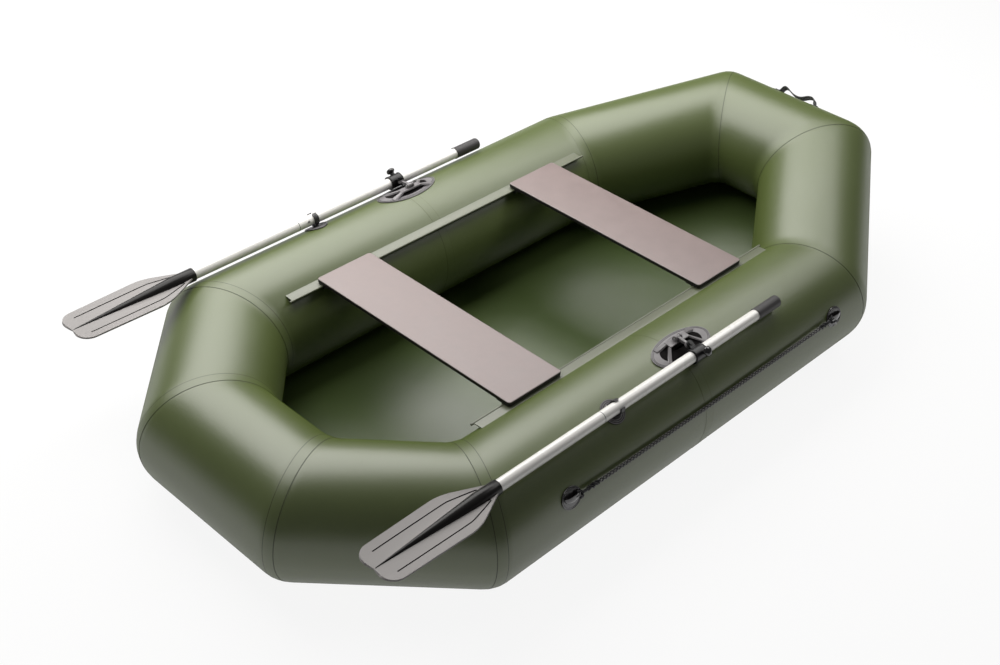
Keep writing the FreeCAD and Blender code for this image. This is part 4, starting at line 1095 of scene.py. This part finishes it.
def blade_half(x):
    """Half the blade's width: out from neck to shoulder, in gently to the tip, and round its corner."""
    corner_x = BLADE_TIP_X + TIP_ROUND
    if x < corner_x:
        return TIP_HALF - TIP_ROUND + math.sqrt(max(0.0, TIP_ROUND ** 2 - (x - corner_x) ** 2))
    if x < SHOULDER_X:
        return SHOULDER_HALF + (TIP_HALF - SHOULDER_HALF) * (SHOULDER_X - x) / (SHOULDER_X - corner_x)
    share = min(1.0, (BLADE_ROOT_X - x) / (BLADE_ROOT_X - SHOULDER_X))
    bend = max(0.0, share - SHOULDER_BEND) / (1 - SHOULDER_BEND)
    swell = share * (1 + SHOULDER_SWELL) - SHOULDER_SWELL * bend * bend
    return NECK_HALF + (SHOULDER_HALF - NECK_HALF) * swell


print("blade:", round(2 * blade_half(SHOULDER_X), 3), "m wide at its shoulder")

# %% The blade's plate
BLADE_THICKNESS = 0.0045
TIP_DIP = 0.007
TIP_SHARE = 0.1
ROW_CROWDING = 1.35
PLATE_DISH = 0.0035
SPINE_RISE = 0.007
SPINE_SPREAD = 0.010


def soft_step(value):
    value = min(1.0, max(0.0, value))
    return value * value * (3 - 2 * value)


plate_bm = bmesh.new()
bmesh.ops.create_grid(plate_bm, x_segments=72, y_segments=32, size=0.5)
for vert in plate_bm.verts:
    along = 0.5 - vert.co.x
    x = BLADE_ROOT_X + (BLADE_TIP_X - BLADE_ROOT_X) * (1 - (1 - along) ** ROW_CROWDING)
    across = vert.co.y * 2
    y = across * blade_half(x)
    at_tip = soft_step((along - (1 - TIP_SHARE)) / TIP_SHARE)
    dip = TIP_DIP * max(0.0, 1 - abs(y) / (TIP_HALF - TIP_ROUND)) * at_tip
    near_spine = math.exp(-abs(y) / SPINE_SPREAD) * (1 - soft_step(along))
    vert.co = Vector((x + dip, y, PLATE_DISH * across * across + SPINE_RISE * near_spine))
bmesh.ops.recalc_face_normals(plate_bm, faces=plate_bm.faces)
bmesh.ops.solidify(plate_bm, geom=plate_bm.faces[:], thickness=BLADE_THICKNESS)
bmesh.ops.recalc_face_normals(plate_bm, faces=plate_bm.faces)
middle = sum(v.co.z for v in plate_bm.verts) / len(plate_bm.verts)
bmesh.ops.translate(plate_bm, vec=(0, 0, -middle), verts=plate_bm.verts)
print("blade plate:", len(plate_bm.faces), "faces")

# %% The blade's spine
SOCKET_RADIUS = 0.019
SOCKET_END_X = -0.856
SOCKET_DEPTH = 0.058
NECK_X = -0.792
SPINE_TIP_RADIUS = 0.0012
SPINE_TIP_GAP = 0.010
LIP_SOFTNESS = 0.0009

spine_bm = bmesh.new()
spine_length = SOCKET_END_X - BLADE_TIP_X - SPINE_TIP_GAP
bmesh.ops.create_cone(spine_bm, cap_ends=True, segments=40, radius1=SPINE_TIP_RADIUS, radius2=SOCKET_RADIUS,
                      depth=spine_length)
bmesh.ops.rotate(spine_bm, verts=spine_bm.verts, cent=(0, 0, 0),
                 matrix=Matrix.Rotation(QUARTER_TURN, 3, "Y"))
bmesh.ops.translate(spine_bm, vec=(SOCKET_END_X - spine_length / 2, 0, 0), verts=spine_bm.verts)


def draw_out(bm, faces, distance):
    """Extrude faces along the oar, and drop the ones that they started from."""
    grown = bmesh.ops.extrude_face_region(bm, geom=faces)["geom"]
    bmesh.ops.delete(bm, geom=faces, context="FACES")
    bmesh.ops.translate(bm, vec=(distance, 0, 0), verts=only(grown, bmesh.types.BMVert))
    return grown


thick_end = [f for f in spine_bm.faces if f.calc_center_median().x > SOCKET_END_X - SAME_CORNER]
socket = draw_out(spine_bm, thick_end, NECK_X - SOCKET_END_X)
# The mouth is the socket's only face with more than four corners.
mouth = [f for f in only(socket, bmesh.types.BMFace) if len(f.verts) > 4]
bmesh.ops.inset_region(spine_bm, faces=mouth, thickness=SOCKET_RADIUS - SHAFT_RADIUS)
draw_out(spine_bm, mouth, -SOCKET_DEPTH)
lip = [e for e in spine_bm.edges if all(abs(v.co.x - NECK_X) < SAME_CORNER for v in e.verts)]
bmesh.ops.bevel(spine_bm, geom=lip, offset=LIP_SOFTNESS, segments=2, profile=0.5, affect="EDGES",
                material=-1)
bmesh.ops.recalc_face_normals(spine_bm, faces=spine_bm.faces)
print("spine:", len(spine_bm.faces), "faces")

# %% The blade's rib lines
RIB_POINTS = ((-0.846, 0.017), (-0.838, 0.0185), (-0.832, 0.0215), (-0.838, 0.0245), (-0.870, 0.0325),
              (-0.902, 0.0400), (-0.912, 0.0418), (-0.935, 0.0420), (-0.990, 0.0416), (-1.060, 0.0410),
              (-1.130, 0.0400))
RIB_RADIUS = 0.0021
RIB_SINK = 0.0010
RIB_STEP = 0.004


def plate_height(x, y, face):
    """The plate's surface over or under a point, found by casting a ray at its upper or lower face."""
    hit = plate_tree.ray_cast(Vector((x, y, 0.1 * face)), Vector((0, 0, -face)))[0]
    return hit.z if hit else 0.0


plate_tree = BVHTree.FromBMesh(plate_bm)
rib_paths = []
for way in (1, -1):
    rib_route = [Vector((x, y * way, 0.0)) for x, y in RIB_POINTS]
    flat_path = evenly(smooth_line("rib_route", rib_route, 12), RIB_STEP)
    for face in (1, -1):
        rib_paths.append([Vector((p.x, p.y, plate_height(p.x, p.y, face) - RIB_SINK * face))
                          for p in flat_path])
rib_bm = round_bars(rib_paths, RIB_RADIUS)
print("rib lines:", len(rib_bm.faces), "faces")

# %% The blades
blade_grey = finish("blade_grey", (0.300, 0.286, 0.280), (0.258, 0.246, 0.241), (0.44, 0.54),
                    bump_group=mould_grain, bump=0.06, bump_height=0.0003, bump_values={"Scale": 500},
                    tone_scale=12, specular=0.25)
# This black is used for the blade's rib lines and for the painted shade plate on the oarlock pads.
rib_line_and_shade_black = finish("rib_line_and_shade_black", (0.006, 0.005, 0.005), (0.004, 0.003, 0.003), (0.8, 0.9), specular=0.1)
blade_black = finish("blade_black", (0.010, 0.009, 0.0085), (0.005, 0.0045, 0.0045), (0.26, 0.36),
                     bump_group=mould_grain, bump=0.08, bump_height=0.0003, tone_scale=25, specular=0.25)

for name, bm, look, slot, replaced in (
        ("blade_plate", plate_bm, blade_grey, "blade_plastic", "oar_blade"),
        ("blade_spine", spine_bm, blade_black, "black_plastic", None),
        ("blade_ribs", rib_bm, rib_line_and_shade_black, "black_plastic", None)):
    bmesh.ops.translate(bm, vec=shaft_at(0.0), verts=bm.verts)
    both_sides(name, bm, look, slot, body="oar_SIDE", smooth=40, replaced=replaced)

# %% [markdown]
# ## Fittings on the tubes
#
# The oarlocks, clips and eyes stand on moulded rubber pads. Light picks out the fine ribs round the pads'
# rims, so each pad gets real ribs: closed rings of thin bar, laid out flat and then wrapped round the
# tube.

# %% Rubber and gloss plastic
lock_rubber = finish("lock_rubber", (0.165, 0.155, 0.160), (0.130, 0.122, 0.127), (0.36, 0.48),
                     bump_group=mould_grain, bump=0.15, bump_height=0.0002, bump_values={"Scale": 600},
                     tone_scale=30, specular=0.8)
gloss_black = finish("gloss_black", (0.010, 0.0095, 0.010), (0.006, 0.006, 0.006), (0.24, 0.34),
                     bump_group=mould_grain, bump=0.05, bump_height=0.0001, tone_scale=25, specular=0.35)
knob_black = finish("knob_black", (0.012, 0.011, 0.011), (0.008, 0.008, 0.008), (0.10, 0.16),
                    bump_group=mould_grain, bump=0.03, bump_height=0.0001, tone_scale=25, specular=0.8)
eye_rubber = finish("eye_rubber", (0.026, 0.023, 0.025), (0.015, 0.013, 0.014), (0.20, 0.32),
                    bump_group=mould_grain, bump=0.15, bump_height=0.0002, bump_values={"Scale": 500},
                    tone_scale=40, specular=0.9, coat=0.3)
print("fitting finishes:", lock_rubber.name, gloss_black.name, knob_black.name, eye_rubber.name)

# %% Ribs round the rims
LOCK_X = -0.068
LOCK_ANGLE = 14.0
CLIP_X = -0.378
EYE_PAD = (0.033, 0.028)
EYE_PAD_TOP = 0.0026


def oval(half_x, half_y, height, steps=96):
    """A closed oval, laid flat at a height."""
    turns = [2 * math.pi * step / steps for step in range(steps)]
    return [Vector((half_x * math.cos(t), half_y * math.sin(t), height)) for t in turns]


def rim_ribs(name, x, angle, half, height, insets, radius, look, slot):
    """Rings of bar round the rim of an oval pad, each inset by its own distance."""
    rings = [oval(half[0] - inset, half[1] - inset, height) for inset in insets]
    bm = round_bars(rings, radius, closed=True)
    wrap(bm, x, angle)
    both_sides(name, bm, look, slot)


# The ribs round the oarlock pad are black on its grey rubber: painted shade, so that they read as shaded
# grooves.
rim_ribs("oarlock_rim", LOCK_X, LOCK_ANGLE, half=(0.106, 0.050), height=0.0028, insets=(0.0030, 0.0070),
         radius=0.0009, look=black_rubber, slot="pad_rubber")
# The ribs round the clip's black pad are pale grey: painted highlight, for the light that their edges catch.
rim_ribs("clip_rim_painted_highlight", CLIP_X, SHAFT_ANGLE, half=(0.034, 0.034), height=0.0026,
         insets=(0.0016, 0.0060, 0.0105), radius=0.0010, look=lock_rubber, slot="black_rubber")
for end, x, angle in zip(EYE_ENDS, EYE_XS, EYE_ANGLES):
    rim_ribs("eye_rim_" + end, x, angle, half=EYE_PAD, height=EYE_PAD_TOP, insets=(0.0014, 0.0050),
             radius=0.0009, look=eye_rubber, slot="black_rubber")

# %% Oval plates
PLATE_EDGE_WIDTH = 0.0004
PLATE_EDGE_DROP = 0.0003
RINGS_REACH = 0.9


def pad_disc(half, low, high, rings):
    """A closed oval plate, laid flat, with rings down to its middle so that it can be wrapped."""
    bm = bmesh.new()
    disc = bmesh.ops.create_circle(bm, cap_ends=True, segments=72, radius=1.0)["verts"]
    bmesh.ops.scale(bm, vec=(*half, 1), verts=disc)
    under = bm.faces[:]
    raised = bmesh.ops.extrude_face_region(bm, geom=under)["geom"]
    over = only(raised, bmesh.types.BMFace)
    bmesh.ops.translate(bm, vec=(0, 0, high - low - PLATE_EDGE_DROP), verts=only(raised, bmesh.types.BMVert))
    bmesh.ops.inset_region(bm, faces=over, thickness=PLATE_EDGE_WIDTH, depth=PLATE_EDGE_DROP)
    for ring in range(rings):
        for faces in (over, under):
            bmesh.ops.inset_region(bm, faces=faces, thickness=RINGS_REACH * half[1] / rings)
    bmesh.ops.translate(bm, vec=(0, 0, low), verts=bm.verts)
    return bm


# A thin black plate on the oarlock's pad, between the bridge's legs, is painted shade: it darkens the pad
# where the bridge shades it.
painted_shade_plate_bm = pad_disc((0.076, 0.036), low=0.0029, high=0.0035, rings=6)
wrap(painted_shade_plate_bm, LOCK_X, LOCK_ANGLE)
both_sides("oarlock_well", painted_shade_plate_bm, rib_line_and_shade_black, "pad_rubber", smooth=40)

# %% [markdown]
# ## Oarlocks and clips
#
# The bridge, arm, collar and clip keep their CAD shapes with softened edges. The collar gets raised bands
# at its ends. The knob is a glossy ball, a little flat, with shallow flutes, as a hand knob is moulded.

# %% Clamp knobs
COLLAR_WALL = 0.004
COLLAR_BOSS = 0.006
KNOB_GAP = 0.0005
KNOB_X = LOCK_X + 0.008
KNOB_LEAN = math.radians(54)
KNOB_RADIUS = 0.0135
KNOB_HALF_HEIGHT = 0.0080
KNOB_MIDDLE = 0.0062
FLUTES = 6
FLUTE_DEPTH = 0.07
SCREW_RADIUS = 0.003
SCREW_TOP = 0.002
SCREW_GAP = 0.0003

knob_bm = bmesh.new()
bmesh.ops.create_uvsphere(knob_bm, u_segments=48, v_segments=24, radius=1.0)
for vert in knob_bm.verts:
    across = math.hypot(vert.co.x, vert.co.y)
    turn = math.atan2(vert.co.y, vert.co.x)
    radius = KNOB_RADIUS * (1 - FLUTE_DEPTH * across * (1 - math.cos(FLUTES * turn)) / 2)
    vert.co = Vector((vert.co.x * radius, vert.co.y * radius, vert.co.z * KNOB_HALF_HEIGHT + KNOB_MIDDLE))
knob_low = SHAFT_RADIUS + COLLAR_WALL + COLLAR_BOSS + KNOB_GAP
screw_low = SHAFT_RADIUS + SCREW_GAP - knob_low
screw = bmesh.ops.create_cone(knob_bm, cap_ends=True, segments=24, radius1=SCREW_RADIUS,
                              radius2=SCREW_RADIUS, depth=SCREW_TOP - screw_low)["verts"]
bmesh.ops.translate(knob_bm, vec=(0, 0, (SCREW_TOP + screw_low) / 2), verts=screw)
bmesh.ops.rotate(knob_bm, verts=knob_bm.verts, cent=(0, 0, 0), matrix=Matrix.Rotation(KNOB_LEAN, 3, "X"))
knob_way = Vector((0, -math.sin(KNOB_LEAN), math.cos(KNOB_LEAN)))
bmesh.ops.translate(knob_bm, vec=shaft_at(KNOB_X) + knob_way * knob_low, verts=knob_bm.verts)
both_sides("knob", knob_bm, knob_black, "black_plastic", body="knob_SIDE", replaced="clamp_knob")

# %% Oarlocks and clips
BAND_OFFSET = 0.0205

for side in SIDES:
    softened("lock_base_" + side, "oarlock_bridge_" + side, lock_rubber, 0.0007)
    softened("lock_arm_" + side, "oarlock_arm_" + side, lock_rubber, 0.0008)
    softened("lock_dip_pin_" + side, "dip_bolt_" + side, zinc, 0.0003)
    softened("lock_swing_pin_" + side, "swing_bolt_" + side, gloss_black, 0.0004)
    softened("oar_collar_" + side, "collar_" + side, gloss_black, 0.0009, segments=3)
    softened("oar_clip_" + side, "clip_" + side, black_rubber, 0.0008, segments=3)
for end, offset in (("stern", -BAND_OFFSET), ("bow", BAND_OFFSET)):
    shaft_ring("collar_band_" + end, LOCK_X + offset, width=0.0032, radius=0.0196, look=gloss_black,
               slot="black_plastic")

# %% [markdown]
# ## Eyes and hitches
#
# An eye's bridge is a hood: a quarter of an egg, open upwards, where the rope passes. It is bent from a
# strip and given its thickness. A hitch is two turns of rope laid round each other, with a loop through
# the hood.

# %% Eyes
EYE_HALF = 0.025
HOOD_RISE = 0.0155
HOOD_FOOT = 0.0015
HOOD_LIP_Y = -0.0075
HOOD_REACH = 0.0175
HOOD_THICKNESS = 0.0028
HOOD_END_GAP = 0.005
HOOD_PAD_GAP = 0.02


def hood_point(along, across):
    """A point of the hood from its shares along the tube and from the open lip down to the pad."""
    turn = math.pi * along
    bend = 0.5 * math.pi * across
    reach = HOOD_REACH * math.sin(turn) ** 0.7
    rise = (HOOD_RISE - HOOD_FOOT) * math.sin(turn) ** 0.8 * math.cos(bend) ** 0.8
    return Vector((-EYE_HALF * math.cos(turn), HOOD_LIP_Y + reach * math.sin(bend), HOOD_FOOT + rise))


hood_bm = bmesh.new()
bmesh.ops.create_grid(hood_bm, x_segments=40, y_segments=12, size=0.5)
for vert in hood_bm.verts:
    along = min(1 - HOOD_END_GAP, max(HOOD_END_GAP, vert.co.x + 0.5))
    vert.co = hood_point(along, min(1 - HOOD_PAD_GAP, vert.co.y + 0.5))
bmesh.ops.recalc_face_normals(hood_bm, faces=hood_bm.faces)
highest = max(hood_bm.faces, key=lambda face: face.calc_center_median().z)
if highest.normal.z < 0:
    bmesh.ops.reverse_faces(hood_bm, faces=hood_bm.faces)
bmesh.ops.solidify(hood_bm, geom=hood_bm.faces[:], thickness=HOOD_THICKNESS)
bmesh.ops.remove_doubles(hood_bm, verts=hood_bm.verts, dist=SAME_CORNER)
bmesh.ops.recalc_face_normals(hood_bm, faces=hood_bm.faces)
print("hood:", len(hood_bm.faces), "faces")

eyes_bm = bmesh.new()
for x, angle in zip(EYE_XS, EYE_ANGLES):
    for shape in (pad_disc(EYE_PAD, low=0.0001, high=EYE_PAD_TOP, rings=5), hood_bm.copy()):
        wrap(shape, x, angle)
        add_to(eyes_bm, shape)
hood_bm.free()
both_sides("eyes", eyes_bm, eye_rubber, "black_rubber", smooth=45, replaced="line_eyes")

# %% The lines of a hitch
HITCH_STEPS = 40
TURN_REACH = 0.0037
TURN_LEAST = 0.0002
TURN_START = 0.2
OUT_HEIGHT = 0.0120
OUT_GAP = 0.004
LOOP_LEGS = ((-2.0, -3.2, 0.0075, 0.010), (2.0, 1.0, 0.0185, 0.012))


def hitch_turns(middle):
    """Two turns of rope, laid round each other along a line."""
    turns = []
    for start in (0.0, math.pi):
        line = []
        for index, (point, side_way, over_way) in enumerate(strand_frames(middle)):
            share = index / HITCH_STEPS
            turn = start + 4 * math.pi * index / HITCH_STEPS
            reach = TURN_REACH * math.sin(math.pi * min(1.0, TURN_START + share)) + TURN_LEAST
            line.append(point + side_way * (reach * math.cos(turn)) + over_way * (reach * math.sin(turn)))
        turns.append(line)
    return turns


def loop_legs(tail, eye_x, angle, way):
    """The loop's two legs, from the hitch's tail out past the eye's end and under or over its hood."""
    legs = []
    for out_turn, hood_turn, hood_height, hood_inset in LOOP_LEGS:
        out = on_tube(angle + out_turn, OUT_HEIGHT, eye_x + way * (EYE_HALF + OUT_GAP))
        hood = on_tube(angle + hood_turn, hood_height, eye_x + way * (EYE_HALF - hood_inset))
        legs.append([tail, tail.lerp(out, 0.5), out, out.lerp(hood, 0.5), hood])
    return legs


print("a hitch has two turns and a loop of", len(LOOP_LEGS), "legs")

# %% Hitches
HITCH_GAP = 0.0003
TURN_WIDTH = 0.0078
LEG_WIDTH = 0.0070
HITCH_LAY = 0.030
HITCH_STEP = 0.002

hitch_bm = bmesh.new()
for eye_x, angle, end, inner in ((EYE_XS[0], EYE_ANGLES[0], route[0], route[1]),
                                 (EYE_XS[1], EYE_ANGLES[1], route[-1], route[-2])):
    way = 1 if end.x > eye_x else -1
    back = (end - inner).normalized()
    length = abs(end.x - eye_x) - EYE_HALF - HITCH_GAP
    middle = [end + back * (length * step / HITCH_STEPS) for step in range(HITCH_STEPS + 1)]
    lines = hitch_turns(middle) + loop_legs(middle[-1], eye_x, angle, way)
    lay = [evenly(smooth_line("hitch_route", line, 6), HITCH_STEP) for line in lines]
    for line, thickness in zip(lay, (TURN_WIDTH, TURN_WIDTH, LEG_WIDTH, LEG_WIDTH)):
        add_to(hitch_bm, round_bars(*braid_lines(line, thickness, HITCH_LAY)))
for side in SIDES:
    hitches = make_piece("line_hitches_" + side, twin(hitch_bm, side), braid_rope, smooth=60)
    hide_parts("line_knots")
hitch_bm.free()
print("eyes and hitches:", len(hitches.data.polygons), "faces in the hitches")

# %% [markdown]
# ## Bow handle
#
# The strap is limp webbing: it rises from each pad, and sags towards the tube in its middle. A smooth
# curve that is steered by its heights gives its line, a strip follows the line, and the strip gets its
# thickness. It is shaped flat, as the pieces on the side tubes are, and then wrapped on the bow tube,
# half-way down its outer side.

# %% The handle
HANDLE_ANGLE = math.radians(45)
STRAP_WIDTH = 0.028
STRAP_THICKNESS = 0.0026
STRAP_STEP = 0.0025
STRAP_HEIGHTS = ((-0.081, 0.0026), (-0.072, 0.0026), (-0.064, 0.0030), (-0.056, 0.0230), (-0.036, 0.0235),
                 (-0.014, 0.0080), (0.006, 0.0070), (0.026, 0.0120), (0.048, 0.0225), (0.059, 0.0215),
                 (0.063, 0.0030), (0.072, 0.0026), (0.081, 0.0026))
webbing = finish("webbing", (0.014, 0.014, 0.014), (0.007, 0.007, 0.007), (0.50, 0.66), bump=0.6,
                 bump_height=0.0004, bump_values={"Weave": 1.0, "Waves": 0.0}, tone_scale=60, sheen=0.2)

strap_route = [Vector((y, 0, height)) for y, height in STRAP_HEIGHTS]
strap_line = evenly(smooth_line("strap_route", strap_route), STRAP_STEP)
strap_bm = bmesh.new()
bmesh.ops.create_grid(strap_bm, x_segments=len(strap_line) - 1, y_segments=10, size=0.5)
for vert in strap_bm.verts:
    step = round((vert.co.x + 0.5) * (len(strap_line) - 1))
    vert.co = Vector((strap_line[step].x, vert.co.y * STRAP_WIDTH, strap_line[step].z))
face_up(strap_bm)
bmesh.ops.solidify(strap_bm, geom=strap_bm.faces[:], thickness=-STRAP_THICKNESS)
bmesh.ops.recalc_face_normals(strap_bm, faces=strap_bm.faces)
radial_way = Vector((0, -math.sin(HANDLE_ANGLE), math.cos(HANDLE_ANGLE)))
around_way = Vector((0, -math.cos(HANDLE_ANGLE), -math.sin(HANDLE_ANGLE)))
for vert in strap_bm.verts:
    flat = vert.co.copy()
    vert.co = Vector((flat.x, 0, 0)) + radial_way * (TUBE_RADIUS + flat.z) + around_way * flat.y
bmesh.ops.rotate(strap_bm, verts=strap_bm.verts, cent=(0, 0, 0),
                 matrix=Matrix.Rotation(QUARTER_TURN, 3, "Z"))
bmesh.ops.translate(strap_bm, vec=(BOW_X, 0, AXIS_Z + BOW_RISE), verts=strap_bm.verts)
strap = make_piece("handle_strap", strap_bm, webbing, smooth=50)
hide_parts("bow_handle_strap")
softened("bow_handle_pads", "handle_pads", black_rubber, 0.0006)
print("handle strap:", len(strap.data.polygons), "faces")

# %% [markdown]
# ## Valves and bulkheads
#
# The valves sit on the starboard tube's inner side, and are moulded in grey and black. Inside each side
# tube a bulkhead, a wall of the hull's fabric, splits it into two chambers. All of them have their true
# shape already. The valves get soft edges and a finish, and their springs and the bulkheads, which are
# hidden, get only a finish.

# %% Valves and bulkheads
valve_grey = finish("valve_grey", (0.060, 0.058, 0.058), (0.042, 0.040, 0.040), (0.34, 0.46),
                    bump_group=mould_grain, bump=0.2, bump_height=0.0002, tone_scale=40, specular=0.6)
for end in ("stern", "bow"):
    softened("valve_body_" + end, "valve_seat_" + end, valve_grey, 0.0004)
    softened("valve_plunger_" + end, "valve_stem_" + end, black_rubber, 0.0003)
    softened("valve_cap_" + end, "valve_lid_" + end, black_rubber, 0.0004)
    dress("valve_spring_" + end, spring_steel)
for side in SIDES:
    dress("bulkhead_" + side, hull_pvc)
